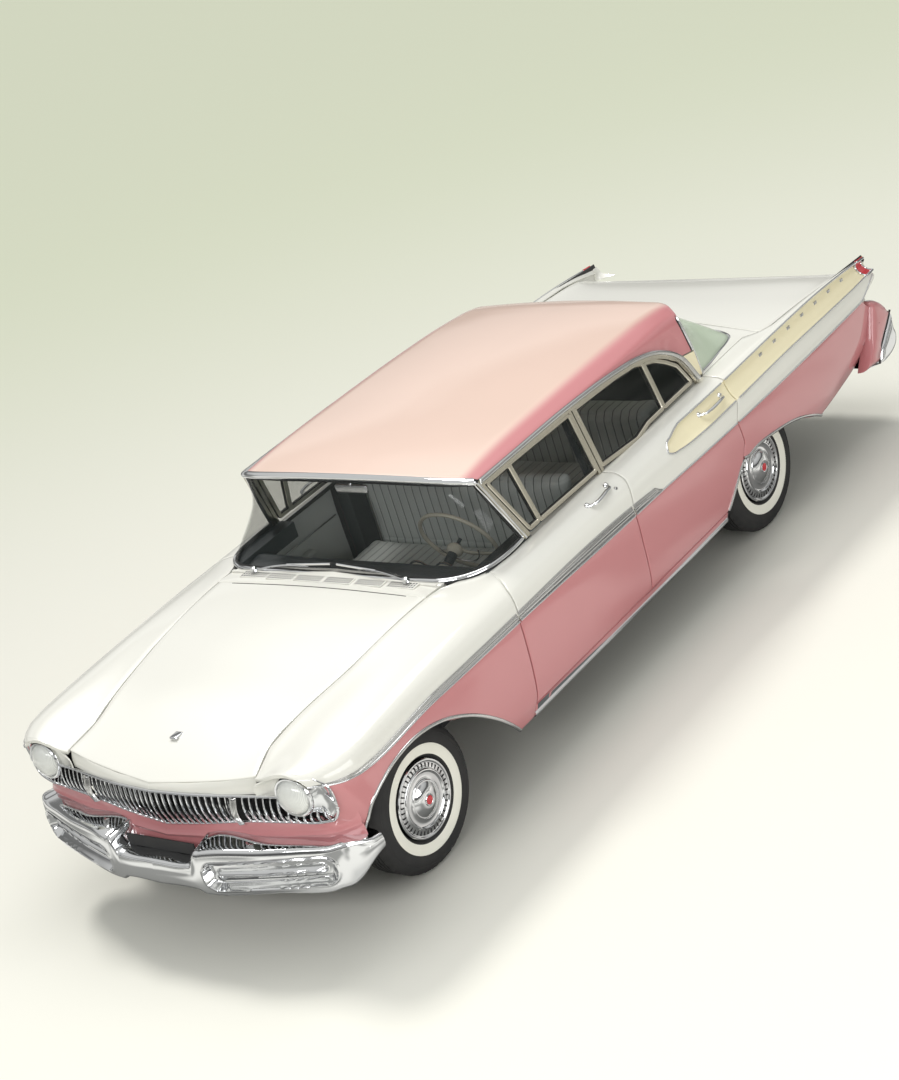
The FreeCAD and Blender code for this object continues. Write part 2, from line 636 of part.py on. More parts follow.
propStart, propEnd = V(0, -1086, 399), V(0, rearAxleY - 90, hubZ + 6)
prop = bar(propStart, propEnd, 35)
axleTube = fused([
    bar((-640, rearAxleY, hubZ), (640, rearAxleY, hubZ), 38),
    bar((0, rearAxleY - 100, hubZ), (0, rearAxleY + 80, hubZ), 118, 20),
    rod((-(rearHubX + 46), rearAxleY, hubZ), (1, 0, 0), rearSpindleR, 2 * (rearHubX + 46)), prop,
])
leaf = prismX([(640, 286), (640, 300), (rearAxleY, 312), (1840, 424), (1840, 408), (rearAxleY, 292)], 420, 480)
shackles = [box(390, 480, 622, 652, 270, 330), box(390, 480, 1820, 1850, 400, 488)]
springs = fused([leaf] + shackles)
rearAxle = group([fused([axleTube] + [s for s in both(springs).Solids]).cut(frame).cut(floor)])
add("rear_axle", rearAxle)


wheelSides = 36      # flats round a wheel or tyre


def wheelSet(x, y, boreR):
    # the car's left: outer side at +X
    half = tyreWidth / 2
    cx = x
    profile = [(-half + 22, rimRadius), (-half, rimRadius + 30), (-half, tyreRadius - 42), (-half + 26, tyreRadius - 6),
               (-half + 50, tyreRadius), (half - 50, tyreRadius), (half - 26, tyreRadius - 6), (half, tyreRadius - 42),
               (half, rimRadius + 30), (half - 22, rimRadius)]
    tyre = turned(profile, (cx, y, hubZ), (1, 0, 0), wheelSides)
    rim = [(-half + 22, rimRadius), (half - 22, rimRadius), (half - 8, rimRadius - 4), (half - 26, rimRadius - 18),
           (half - 4, 120), (half + 22, 60), (half + 24, 0), (half - 60, 0), (half - 60, rimRadius - 16),
           (-half + 22, rimRadius - 12)]
    wheel = turned(rim, (cx, y, hubZ), (1, 0, 0), wheelSides)
    hub = bar((cx + half - 100, y, hubZ), (cx + half - 50, y, hubZ), boreR + 25, 16)
    wheel = fused([wheel, hub]).cut(rod((cx + half - 140, y, hubZ), (1, 0, 0), boreR + runFit, 154))
    return tyre, wheel


frontTyre, frontWheel = wheelSet(frontHubX, frontAxleY, spindleR)
rearTyre, rearWheel = wheelSet(rearHubX, rearAxleY, rearSpindleR)
pair("tyre_front", frontTyre)
pair("tyre_rear", rearTyre)
pair("wheel_front", frontWheel)
pair("wheel_rear", rearWheel)

exhaustX, exhaustZ, pipeR, silencerR = 190.0, 178.0, 28.0, 70.0
# y where each length starts, y where it ends, radius
pipeRuns = [(-1100, -200, pipeR), (-200, 400, silencerR), (400, 900, pipeR)]
exhaust = [bar((exhaustX, a, exhaustZ), (exhaustX, b, exhaustZ), r) for a, b, r in pipeRuns]
downPipe = bar((exhaustX, -1400, 400), (exhaustX, -1090, exhaustZ - 7), pipeR)
exhaust.append(downPipe.cut(exhaust[0]))
for y in (-470, 630):
    hanger = box(exhaustX - 10, exhaustX + 10, y, y + 16, exhaustZ, 240)
    exhaust.append(hanger.cut(exhaust[0]).cut(exhaust[2]))
add("exhaust", group(exhaust))
add("fuel_tank", box(-280, 280, 1620, 2200, 300, 488).cut(frame).cut(rearAxle))

# ---- front end ----
valanceOuter = body.common(box(-1000, 1000, -2600, -2300, 500, 640))
valance = valanceOuter.cut(box(-1000, 1000, -2440, -2300, 500, 640)).common(box(-1000, 1000, -2700, -2300, 520, 608))
frontPanel = valance.cut(parts["front_fender_left"]).cut(parts["front_fender_right"])
add("front_panel", frontPanel)
barCount = 44
barT = 7.0
grilleHalf, grilleLow, grilleHigh, grilleBackY = 872.0, 608.0, 773.0, -2424.0
vee = 95.0 / 590.0
grilleProfile = [(-2400, grilleLow), (-2549, grilleLow), (-2556, 635), (-2560, 690), (-2556, 745),
                 (-2549, grilleHigh), (-2400, grilleHigh)]
grilleBody = both(prismX(grilleProfile, 0, grilleHalf, vee, 0))
comb = [(-grilleHalf, grilleBackY)]
for i in range(barCount):
    x = -845 + 1690 * i / (barCount - 1)
    comb += [(x - barT / 2, grilleBackY - 6), (x - barT / 2, -2700), (x + barT / 2, -2700), (x + barT / 2, grilleBackY - 6)]
comb.append((grilleHalf, grilleBackY))
comb = prismZ(comb, grilleLow, grilleHigh).common(grilleBody)
railBlocks = [grilleBody.common(box(-grilleHalf, grilleHalf, -2700, grilleBackY, z, z + 9))
              for z in (grilleLow, grilleHigh - 9)]
grille = fused([comb] + railBlocks)
lampX, lampZ = 770.0, 790.0
lampR, lensR = 100.0, 88.0


def lampBar(y0, y1, r):
    return bar((lampX, y0, lampZ), (lampX, y1, lampZ), r, 28)


lampHouse = lampBar(-2480, -2420, lampR).cut(lampBar(-2490, -2450, lensR))
lens = lampBar(-2474, -2450, lensR - 0.2)
grille = grille.cut(both(lampBar(-2600, -2400, lampR + 1)))
lampClear = both(lampBar(-2600, -2420, lampR))
for side in ("_left", "_right"):
    parts["front_fender" + side] = parts["front_fender" + side].cut(lampClear)
add("grille", grille)
headlamps = [lampHouse, lens]
add("headlamps", group(headlamps + [mirrored(h) for h in headlamps]))

# ---- bumpers ----
bumperPlan = [(-995, -2262), (-985, -2400), (-900, -2500), (-300, -2640), (0, -2665), (300, -2640), (900, -2500),
              (985, -2400), (995, -2262), (960, -2262), (950, -2385), (880, -2470), (300, -2600), (0, -2620),
              (-300, -2600), (-880, -2470), (-950, -2385), (-960, -2262)]
frontBumper = prismZ(bumperPlan, 425, 510)
pod = prismZ([(250, -2681), (880, -2520), (900, -2490), (880, -2470), (250, -2612)], 440, 580)
frontBumper = fused([frontBumper, both(pod), both(box(310, 380, -2620, -2560, 340, 440))])
frontBumper = frontBumper.cut(frame).cut(parts["front_fender_left"]).cut(parts["front_fender_right"]).cut(frontPanel)
add("front_bumper", frontBumper)
plateHalf, plateZ, plateHoleR = 89.0, 400.0, 3.5
rearBumper = prismZ([(-1004, 2420), (-985, 2600), (-900, 2668), (-200, overallHalf), (200, overallHalf), (900, 2668),
                     (985, 2600), (1004, 2420),
                     (975, 2420), (955, 2590), (890, 2630), (0, 2640), (-890, 2630), (-955, 2590), (-975, 2420)],
                    360, 500)
rearBumper = fused([rearBumper, both(box(310, 380, 2600, 2650, 400, 470))])
for n in ("quarter_panel_left", "quarter_panel_right", "rear_panel"):
    rearBumper = rearBumper.cut(parts[n])
for x in (-plateHalf, plateHalf):
    rearBumper = rearBumper.cut(rod((x, 2600, plateZ), (0, 1, 0), plateHoleR, 100))
add("rear_bumper", rearBumper.cut(frame))

# ---- cabin ----
seatHalf = 690.0
seatBase = box(-600, 600, -480, 20, 452, 460).fuse(both(box(400, 600, -480, 20, floorZ, 452)))
add("front_seat_base", seatBase)
add("front_seat_cushion", box(-seatHalf, seatHalf, -520, -70, 460 + seatFit, 640))
add("front_seat_back", prismX([(-70 + seatFit, 460 + seatFit), (-50, 1020), (0, 1030), (28, 1000), (30, 460 + seatFit)],
                              -seatHalf, seatHalf).cut(sideFrame).cut(mirrored(sideFrame)))
rearCushion = box(-600, 600, 450, 800 - seatFit, 500, 650)
rearBase = both(box(132, 600, 470, 850, floorZ, 500 - seatFit))
add("rear_seat_base", rearBase)
add("rear_seat_cushion", rearCushion)
add("rear_seat_back", prismX([(800, 500), (880, 940), (980, 940), (900, 500)], -600, 600).cut(floor))
dashProfile = [(-985, 800), (-985, 950), (-860, 962), (-825, 930), (-845, 860), (-890, 790)]
dash = prismX(dashProfile, -700, 700).fuse(box(-600, 600, -1088, -984, 880, 896))
dash = dash.cut(windscreen).cut(parts["cowl"]).cut(floor)
axisC = V(0, math.cos(columnTilt), math.sin(columnTilt))
hubC = V(columnX, wheelCentreY, wheelCentreZ)


def along(d):
    p = hubC + axisC * d
    return (p.x, p.y, p.z)


tube = bar(along(-480), along(-60), 24)
shaft = Part.makeCylinder(9, 100, V(*along(-90)), axisC)
column = fused([tube, shaft]).cut(floor)
add("dashboard", dash.cut(tube))
add("steering_column", column)
rimHalf, rimSides = 11.0, 30
rimSection = [(rimHalf * math.sin(a), steerWheelR + rimHalf * math.cos(a))
              for a in (math.pi * k / 3 for k in range(6))]
rim = turned(rimSection, tuple(hubC), tuple(axisC), rimSides)
spokeDirs = (35, 145)
hub = bar(along(-50), along(5), 34, 16)
spokes = []
up = V(1, 0, 0).cross(axisC)
for deg in spokeDirs:
    d = V(1, 0, 0) * math.cos(math.radians(deg)) + up * math.sin(math.radians(deg))
    spokes.append(bar(hubC - axisC * 14, hubC + d * steerWheelR - axisC * 2, 8, 8))
wheelBody = fused([rim, hub] + spokes).cut(Part.makeCylinder(9 + runFit, 65, V(*along(-60)), axisC))
add("steering_wheel", wheelBody)

# ---- write every part ----
for name, shape in parts.items():
    shape.exportStep("parts/" + name + ".step")
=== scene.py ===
import bpy
import bmesh
import json
import math
import numpy as np
from mathutils import Matrix, Vector


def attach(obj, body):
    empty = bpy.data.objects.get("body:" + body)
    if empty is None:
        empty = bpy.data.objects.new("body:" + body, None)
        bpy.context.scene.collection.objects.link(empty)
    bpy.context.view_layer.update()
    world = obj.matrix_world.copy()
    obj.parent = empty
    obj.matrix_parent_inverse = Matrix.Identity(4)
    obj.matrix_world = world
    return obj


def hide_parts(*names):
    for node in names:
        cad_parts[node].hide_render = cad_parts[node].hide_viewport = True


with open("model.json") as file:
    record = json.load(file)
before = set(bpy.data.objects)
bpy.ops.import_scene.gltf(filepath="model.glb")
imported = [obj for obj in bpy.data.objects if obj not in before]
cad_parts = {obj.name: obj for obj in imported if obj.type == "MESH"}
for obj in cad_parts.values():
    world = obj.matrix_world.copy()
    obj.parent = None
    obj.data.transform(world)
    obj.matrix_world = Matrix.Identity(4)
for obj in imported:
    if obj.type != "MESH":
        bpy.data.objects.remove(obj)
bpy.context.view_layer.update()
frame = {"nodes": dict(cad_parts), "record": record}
nodes = frame["nodes"]
print("frame loaded:", len(nodes), "nodes")


class Wire:
    # one value in a material; sums on it add Math nodes
    def __init__(self, shade, socket):
        self.shade, self.socket = shade, socket

    def sum(self, operation, *others):
        made = self.shade.node("ShaderNodeMath", {"operation": operation}, dict(enumerate(others)))
        return Wire(self.shade, made.outputs[0])

    def __add__(self, o): return self.sum("ADD", self, o)
    def __radd__(self, o): return self.sum("ADD", o, self)
    def __sub__(self, o): return self.sum("SUBTRACT", self, o)
    def __rsub__(self, o): return self.sum("SUBTRACT", o, self)
    def __mul__(self, o): return self.sum("MULTIPLY", self, o)
    def __rmul__(self, o): return self.sum("MULTIPLY", o, self)
    def __truediv__(self, o): return self.sum("DIVIDE", self, o)
    def __rtruediv__(self, o): return self.sum("DIVIDE", o, self)

    def between(self, low, high):
        # 0 below low, 1 above high, smooth in between
        made = self.shade.node("ShaderNodeMapRange", {"interpolation_type": "SMOOTHSTEP"},
                               {0: self, 1: low, 2: high, 3: 0.0, 4: 1.0})
        return Wire(self.shade, made.outputs[0])


class Shade:
    # one material and its nodes
    def __init__(self, name, **fixed):
        self.material = bpy.data.materials.new(name)
        self.material.use_nodes = True
        self.tree = self.material.node_tree
        self.tree.nodes.clear()
        self.surface = self.node("ShaderNodeBsdfPrincipled", {}, {})
        self.node("ShaderNodeOutputMaterial", {}, {0: self.surface.outputs[0]})
        for key, value in fixed.items():
            socket = self.surface.inputs[key.replace("_", " ")]
            colour = isinstance(value, tuple) and len(value) == 3
            socket.default_value = (*value, 1.0) if colour else value

    def node(self, kind, settings, inputs):
        made = self.tree.nodes.new(kind)
        for key, value in settings.items():
            if key == "stops":
                ramp = made.color_ramp
                while len(ramp.elements) < len(value):
                    ramp.elements.new(0.5)
                for element, (place, colour) in zip(ramp.elements, value):
                    element.position, element.color = place, (*colour, 1.0)
            else:
                setattr(made, key, value)
        for key, value in inputs.items():
            self.link(value, made.inputs[key])
        return made

    def link(self, value, socket):
        if isinstance(value, Wire):
            value = value.socket
        if isinstance(value, bpy.types.NodeSocket):
            self.tree.links.new(value, socket)
        else:
            socket.default_value = value

    def put(self, **wires):
        for key, value in wires.items():
            self.link(value, self.surface.inputs[key.replace("_", " ")])
        return self

    def place(self):
        return self.node("ShaderNodeTexCoord", {}, {}).outputs["Object"]

    def axes(self):
        parts = self.node("ShaderNodeSeparateXYZ", {}, {0: self.place()})
        return [Wire(self, parts.outputs[i]) for i in range(3)]

    def noise(self, scale, detail=2.0):
        made = self.node("ShaderNodeTexNoise", {}, {"Vector": self.place(), "Scale": scale,
                                                    "Detail": detail})
        return Wire(self, made.outputs[0])

    def mix(self, mask, first, second):
        made = self.node("ShaderNodeMix", {"data_type": "RGBA"}, {0: mask})
        for value, socket in ((first, made.inputs[6]), (second, made.inputs[7])):
            self.link((*value, 1.0) if isinstance(value, tuple) else value, socket)
        return made.outputs[2]

    def bump(self, height, depth, strength=1.0):
        made = self.node("ShaderNodeBump", {}, {"Height": height, "Distance": depth, "Strength": strength})
        return made.outputs[0]


paintLook = {"pink": (0.545, 0.205, 0.216), "white": (0.745, 0.735, 0.68), "roof": (0.72, 0.53, 0.445),
             "gold": (0.86, 0.78, 0.54)}


def paint(name, colour, roughness=0.32, coat=1.0):
    # enamel: a little unevenness in the colour and a faint ripple under the clear gloss
    s = Shade(name, Roughness=roughness, Coat_Weight=coat, Coat_Roughness=0.04, IOR=1.45)
    cloud = s.noise(1.7, 3.0)
    darker = tuple(c * 0.955 for c in colour)
    s.put(Base_Color=s.mix(cloud, darker, colour), Roughness=roughness + s.noise(9.0) * 0.06)
    s.put(Normal=s.bump(s.noise(900.0, 1.0), 0.00002, 0.4))
    return s.material


def chromed(name, colour=(0.80, 0.81, 0.82), roughness=0.05):
    s = Shade(name, Metallic=1.0, Base_Color=colour, Roughness=roughness)
    haze = s.noise(35.0, 3.0)
    s.put(Roughness=roughness + haze.between(0.45, 0.8) * 0.05)
    s.put(Base_Color=s.mix(s.noise(6.0), colour, tuple(c * 0.94 for c in colour)))
    return s.material


def roofLook():
    # painted light: the top takes the paler roof colour and the rail below the crease the darker body pink,
    # as the light falls on them
    s = Shade("roofPaint", Roughness=0.36, Coat_Weight=1.0, Coat_Roughness=0.04, IOR=1.45)
    x, y, _ = s.axes()
    rail = (x.sum("ABSOLUTE", x) + y * 0.026).between(0.615, 0.688)
    colour = paintLook["roof"]
    topColour = s.mix(s.noise(1.7, 3.0), tuple(c * 0.96 for c in colour), colour)
    s.put(Base_Color=s.mix(rail, topColour, paintLook["pink"]))
    s.put(Roughness=0.36 + s.noise(9.0) * 0.06, Normal=s.bump(s.noise(900.0, 1.0), 0.00002, 0.4))
    return s.material


pinkPaint = paint("pinkPaint", paintLook["pink"])
whitePaint = paint("whitePaint", paintLook["white"])
roofPaint = roofLook()
goldPaint = paint("goldPaint", paintLook["gold"], 0.30, 0.6)
chrome = chromed("chrome")
stainless = chromed("stainless", (0.66, 0.66, 0.65), 0.16)
goldTrim = chromed("goldTrim", (0.66, 0.62, 0.52), 0.16)
underPaint = paint("underPaint", (0.035, 0.035, 0.036), 0.6, 0.0)


def rubberLook():
    s = Shade("rubber", Roughness=0.78)
    s.put(Base_Color=s.mix(s.noise(14.0, 4.0), (0.017, 0.017, 0.018), (0.035, 0.034, 0.033)))
    s.put(Normal=s.bump(s.noise(220.0, 2.0), 0.0002, 0.5))
    return s.material


def whiteRubberLook():
    s = Shade("whitewall", Roughness=0.6)
    s.put(Base_Color=s.mix(s.noise(20.0, 4.0), (0.80, 0.785, 0.70), (0.86, 0.85, 0.77)))
    s.put(Normal=s.bump(s.noise(150.0, 2.0), 0.0002, 0.3))
    return s.material


def castLook(name, colour, roughness):
    s = Shade(name, Roughness=roughness, Metallic=0.4)
    grain = s.noise(60.0, 4.0)
    s.put(Base_Color=s.mix(grain, colour, tuple(c * 0.6 for c in colour)))
    s.put(Roughness=roughness + grain * 0.2, Normal=s.bump(grain, 0.0008, 0.5))
    return s.material


def vinylLook(name, pitch=None):
    s = Shade(name, Roughness=0.48, Coat_Weight=0.1, Coat_Roughness=0.35)
    grain = s.node("ShaderNodeTexVoronoi", {}, {"Vector": s.place(), "Scale": 420.0})
    grain = Wire(s, grain.outputs[0])
    colour = s.mix(s.noise(5.0, 3.0), (0.66, 0.71, 0.68), (0.76, 0.80, 0.77))
    if pitch:
        # the stitched bottom of each pleat is darkened, partly grime and partly painted shade
        x = s.axes()[0]
        across = (x / pitch).sum("FRACT", x / pitch) - 0.5
        grooveGrimeAndShade = (across.sum("ABSOLUTE", across) * 2.0).between(0.80, 0.97)
        colour = s.mix(grooveGrimeAndShade, colour, (0.20, 0.22, 0.21))
    s.put(Base_Color=colour)
    s.put(Normal=s.bump(grain, 0.0004, 0.35), Roughness=0.45 + grain * 0.12)
    return s.material


def clearLook(name, tint, alpha):
    # thin glass: mostly see-through, with its own reflection
    s = Shade(name, Base_Color=tint, Roughness=0.02, Specular_IOR_Level=0.6)
    s.put(Alpha=alpha + s.noise(1.3) * 0.03)
    return s.material


def redLook():
    s = Shade("redLens", Roughness=0.12, Coat_Weight=1.0, Emission_Strength=0.25)
    ribs = s.node("ShaderNodeTexWave", {"bands_direction": "Z"}, {"Vector": s.place(), "Scale": 60.0})
    ribs = Wire(s, ribs.outputs[1])
    s.put(Base_Color=s.mix(ribs, (0.36, 0.006, 0.012), (0.55, 0.02, 0.03)), Normal=s.bump(ribs, 0.001))
    s.put(Emission_Color=s.mix(ribs, (0.35, 0.004, 0.01), (0.5, 0.02, 0.03)))
    return s.material


def lampLook():
    s = Shade("lampGlass", Roughness=0.08, Coat_Weight=1.0)
    flutes = s.node("ShaderNodeTexWave", {"bands_direction": "X"}, {"Vector": s.place(), "Scale": 55.0})
    flutes = Wire(s, flutes.outputs[1])
    s.put(Base_Color=s.mix(flutes, (0.62, 0.63, 0.60), (0.80, 0.81, 0.78)))
    s.put(Normal=s.bump(flutes, 0.0012, 0.8))
    return s.material


def plasticLook(name, colour, roughness):
    s = Shade(name, Roughness=roughness, Coat_Weight=0.4, Coat_Roughness=0.1)
    s.put(Base_Color=s.mix(s.noise(8.0, 3.0), colour, tuple(c * 0.9 for c in colour)))
    s.put(Normal=s.bump(s.noise(300.0), 0.0001, 0.3))
    return s.material


rubber, whitewall = rubberLook(), whiteRubberLook()
castIron = castLook("castIron", (0.05, 0.05, 0.05), 0.6)
machined = castLook("machined", (0.16, 0.16, 0.16), 0.45)
rustySteel = castLook("rustySteel", (0.14, 0.11, 0.09), 0.65)
vinyl, pleatedVinyl = vinylLook("vinyl"), vinylLook("pleatedVinyl", 0.052)
glassClear = clearLook("glassClear", (0.012, 0.016, 0.014), 0.20)
glassGreen = clearLook("glassGreen", (0.72, 0.82, 0.66), 0.58)
redLens, lampGlass = redLook(), lampLook()
dashPaint = plasticLook("dashPaint", (0.045, 0.055, 0.06), 0.35)
cream = plasticLook("cream", (0.70, 0.67, 0.55), 0.25)

# every carried-over node gets its finish by the record's slot
slotLook = {"body_white": whitePaint, "body_pink": pinkPaint, "roof_pink": roofPaint,
            "inner_body": underPaint,
            "chassis": underPaint, "tank": underPaint, "radiator": underPaint, "engine": castIron,
            "running_gear": castIron, "knuckle": machined, "exhaust": rustySteel, "tyre": rubber,
            "chrome": chrome, "wheel_chrome": chrome, "lamp": chrome, "tail_lamp": redLens,
            "glass": glassClear,
            "vinyl": vinyl, "dash": dashPaint, "column": dashPaint, "steering_wheel": cream}
for part in frame["record"]["subparts"]:
    thing = nodes[part["node"]]
    thing.data.materials.clear()
    thing.data.materials.append(slotLook[part["material_slot"]])
nodes["rear_window"].data.materials[0] = glassGreen
# painted shade: the side frames take the dark dash finish, standing in for the shade inside the car
for side in ("left", "right"):
    nodes["side_frame_" + side].data.materials[0] = dashPaint
print("finishes made")

studio = {"floorHalf": 70.0, "floor": (0.72, 0.71, 0.65), "floorFarShade": (0.66, 0.69, 0.55),
          "skyLow": (0.30, 0.31, 0.31), "skyHigh": (0.80, 0.82, 0.80), "sky": 0.72,
          "sun": 1.62, "sunFrom": (-3.4, 2.2, 6.0), "sunSize": 13.0, "fill": 150.0, "side": 170.0,
          "top": 160.0,
          "flags": ((0.0, .22), (.10, .14), (.16, .60), (.34, .90), (.40, .30), (.50, .24), (.58, .9),
                    (1.0, 1.0))}


def makeStage():
    scene = bpy.context.scene
    scene.view_settings.view_transform = "Standard"
    half = studio["floorHalf"]
    mesh = bpy.data.meshes.new("floor")
    corners = [(-half, -half, 0), (half, -half, 0), (half, half, 0), (-half, half, 0)]
    mesh.from_pydata(corners, [], [(0, 1, 2, 3)])
    floor = bpy.data.objects.new("floor", mesh)
    scene.collection.objects.link(floor)
    s = Shade("floorPaper", Roughness=0.9, Specular_IOR_Level=0.1)
    x, y, _ = s.axes()
    # far behind the car the paper turns a little darker and more yellow; the darkening is painted shade,
    # where the light falls off
    far = (y * 0.8 - x * 0.7).between(1.0, 11.0)
    # what polished metal sees of the paper is darker and streaked
    ray = s.node("ShaderNodeLightPath", {}, {}).outputs["Is Glossy Ray"]
    streak = s.noise(0.9, 1.0).between(0.42, 0.58)
    seen = s.mix(streak, (0.26, 0.26, 0.25), (0.74, 0.73, 0.70))
    s.put(Base_Color=s.mix(ray, s.mix(far, studio["floor"], studio["floorFarShade"]), seen))
    mesh.materials.append(s.material)
    world = bpy.data.worlds.new("sky")
    scene.world = world
    world.use_nodes = True
    tree = world.node_tree
    where = tree.nodes.new("ShaderNodeTexCoord")
    split = tree.nodes.new("ShaderNodeSeparateXYZ")
    ramp = tree.nodes.new("ShaderNodeValToRGB")
    tree.links.new(where.outputs["Generated"], split.inputs[0])
    tree.links.new(split.outputs[2], ramp.inputs[0])
    ramp.color_ramp.elements[0].color = (*studio["skyLow"], 1)
    ramp.color_ramp.elements[1].color = (*studio["skyHigh"], 1)
    ramp.color_ramp.elements[1].position = 0.55
    # polished metal sees dark flags between the bright banks
    flags = tree.nodes.new("ShaderNodeValToRGB")
    tree.links.new(split.outputs[2], flags.inputs[0])
    stops = flags.color_ramp.elements
    for place, value in studio["flags"]:
        stop = stops[0 if place == 0.0 else -1] if place in (0.0, 1.0) else stops.new(place)
        stop.color = (value, value, value * .98, 1)
    path = tree.nodes.new("ShaderNodeLightPath")
    mix = tree.nodes.new("ShaderNodeMix")
    mix.data_type = "RGBA"
    tree.links.new(path.outputs["Is Glossy Ray"], mix.inputs[0])
    tree.links.new(ramp.outputs[0], mix.inputs[6])
    tree.links.new(flags.outputs[0], mix.inputs[7])
    tree.links.new(mix.outputs[2], tree.nodes["Background"].inputs[0])
    tree.nodes["Background"].inputs[1].default_value = studio["sky"]
    sun = bpy.data.objects.new("sun", bpy.data.lights.new("sun", "SUN"))
    sun.data.energy, sun.data.angle = studio["sun"], math.radians(studio["sunSize"])
    sun.data.color = (1.0, 0.98, 0.94)
    sun.rotation_euler = Vector(studio["sunFrom"]).to_track_quat("Z", "Y").to_euler()
    scene.collection.objects.link(sun)
    # soft boxes over the nose, at the side and overhead give the chrome its streaks
    boxes = (("softBox", (2.0, -7.5, 4.5), (0, -1, 0.6), (5.0, 1.2), studio["fill"]),
             ("sideBox", (8.0, -2.5, 2.6), (0, 0, .8), (6.0, 2.5), studio["side"]),
             ("topBox", (0.5, 0.5, 7.0), (0, 0, 1), (2.4, 6.0), studio["top"]))
    for name, place, aim, size, power in boxes:
        lamp = bpy.data.objects.new(name, bpy.data.lights.new(name, "AREA"))
        lamp.data.shape = "RECTANGLE"
        lamp.data.size, lamp.data.size_y = size
        lamp.data.energy = power
        lamp.location = place
        lamp.rotation_euler = (Vector(place) - Vector(aim)).to_track_quat("Z", "Y").to_euler()
        scene.collection.objects.link(lamp)


lens = {"azimuth": 43.38, "height": 24.04, "roll": -17.87, "length": 80.63, "place": (7.568, -8.261, 5.648)}


def makeCamera():
    azimuth, height, roll = (math.radians(lens[key]) for key in ("azimuth", "height", "roll"))
    level = math.cos(height)
    back = Vector((math.sin(azimuth) * level, -math.cos(azimuth) * level, math.sin(height)))
    right = (-back).cross(Vector((0, 0, 1))).normalized()
    up = right.cross(-back)
    across = right * math.cos(roll) + up * math.sin(roll)
    upright = up * math.cos(roll) - right * math.sin(roll)
    camera = bpy.data.objects.new("camera", bpy.data.cameras.new("camera"))
    camera.data.lens, camera.data.sensor_width = lens["length"], 36.0
    turned = Matrix((across, upright, back)).transposed().to_4x4()
    camera.matrix_world = Matrix.Translation(lens["place"]) @ turned
    bpy.context.scene.collection.objects.link(camera)
    bpy.context.scene.camera = camera


makeStage()
makeCamera()
print("stage set")


class Shape:
    # points and faces, with the number of a finish for each face
    def __init__(self):
        self.points, self.faces, self.finish = [], [], []

    def add(self, points, faces, finish=0):
        base = len(self.points)
        self.points += [tuple(float(v) for v in p) for p in points]
        self.faces += [tuple(base + i for i in f) for f in faces]
        self.finish += list(finish) if hasattr(finish, "__len__") else [finish] * len(faces)
        return self

    def grid(self, rows, finish=0, around=False, along=False, caps=False):
        # rows of points joined by four-sided faces
        # around closes each row, along joins the last row to the first
        rows = np.asarray(rows, float)
        m, n = rows.shape[:2]
        faces, marks = [], []
        for i in range(m if along else m - 1):
            for j in range(n if around else n - 1):
                k, l = (j + 1) % n, (i + 1) % m
                faces.append((i * n + j, i * n + k, l * n + k, l * n + j))
                marks.append(finish[i][j] if hasattr(finish, "__len__") else finish)
        if caps:
            faces += [tuple(range(n))[::-1], tuple(range((m - 1) * n, m * n))]
            marks += [0 if hasattr(finish, "__len__") else finish] * 2
        return self.add(rows.reshape(-1, 3), faces, marks)

    def mirrored(self):
        other = Shape()
        other.points = [(-x, y, z) for x, y, z in self.points]
        other.faces = [f[::-1] for f in self.faces]
        other.finish = list(self.finish)
        return other

    def join(self, other):
        return self.add(other.points, other.faces, other.finish)

    def build(self, name, finishes, body="body", angle=38, merge=1e-5):
        mesh = bpy.data.meshes.new(name)
        mesh.from_pydata(self.points, [], self.faces)
        for f in finishes:
            mesh.materials.append(f)
        mesh.polygons.foreach_set("material_index", self.finish)
        bm = bmesh.new()
        bm.from_mesh(mesh)
        bmesh.ops.remove_doubles(bm, verts=bm.verts, dist=merge)
        bmesh.ops.recalc_face_normals(bm, faces=bm.faces)
        bm.to_mesh(mesh)
        bm.free()
        mesh.polygons.foreach_set("use_smooth", [True] * len(mesh.polygons))
        mesh.set_sharp_from_angle(angle=math.radians(angle))
        thing = bpy.data.objects.new(name, mesh)
        bpy.context.scene.collection.objects.link(thing)
        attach(thing, body)
        return thing

    def pair(self, name, finishes, body="body", **more):
        # this shape on the left of the car and its mirror image on the right
        return [shape.build(name + side.capitalize(), finishes, body.format(side=side), **more)
                for side, shape in (("left", self), ("right", self.mirrored()))]


def unit(v):
    v = np.asarray(v, float)
    return v / np.maximum(np.linalg.norm(v, axis=-1, keepdims=True), 1e-12)


def ease(knots, values, x):
    # a smooth curve through the values at the knots
    knots, x = np.asarray(knots, float), np.atleast_1d(np.asarray(x, float))
    values = np.asarray(values, float).reshape(len(knots), -1)
    step = np.diff(knots)
    slope = np.diff(values, axis=0) / step[:, None]
    lean = np.zeros_like(values)
    span = (step[:-1] + step[1:])[:, None]
    lean[1:-1] = (slope[:-1] * step[1:, None] + slope[1:] * step[:-1, None]) / span
    lean[0], lean[-1] = slope[0], slope[-1]
    i = np.clip(np.searchsorted(knots, x) - 1, 0, len(knots) - 2)
    h, f = step[i][:, None], np.clip((x - knots[i]) / step[i], 0, 1)[:, None]
    return ((1 + 2 * f) * (1 - f) ** 2 * values[i] + f * (1 - f) ** 2 * h * lean[i]
            + f * f * (3 - 2 * f) * values[i + 1] + f * f * (f - 1) * h * lean[i + 1])


def along(points, count, smooth=False):
    # the same line as evenly spaced points
    points = np.asarray(points, float)
    far = np.concatenate([[0], np.cumsum(np.linalg.norm(np.diff(points, axis=0), axis=1))])
    at = np.linspace(0, far[-1], count)
    if smooth:
        return ease(far, points, at)
    return np.stack([np.interp(at, far, points[:, k]) for k in range(points.shape[1])], 1)


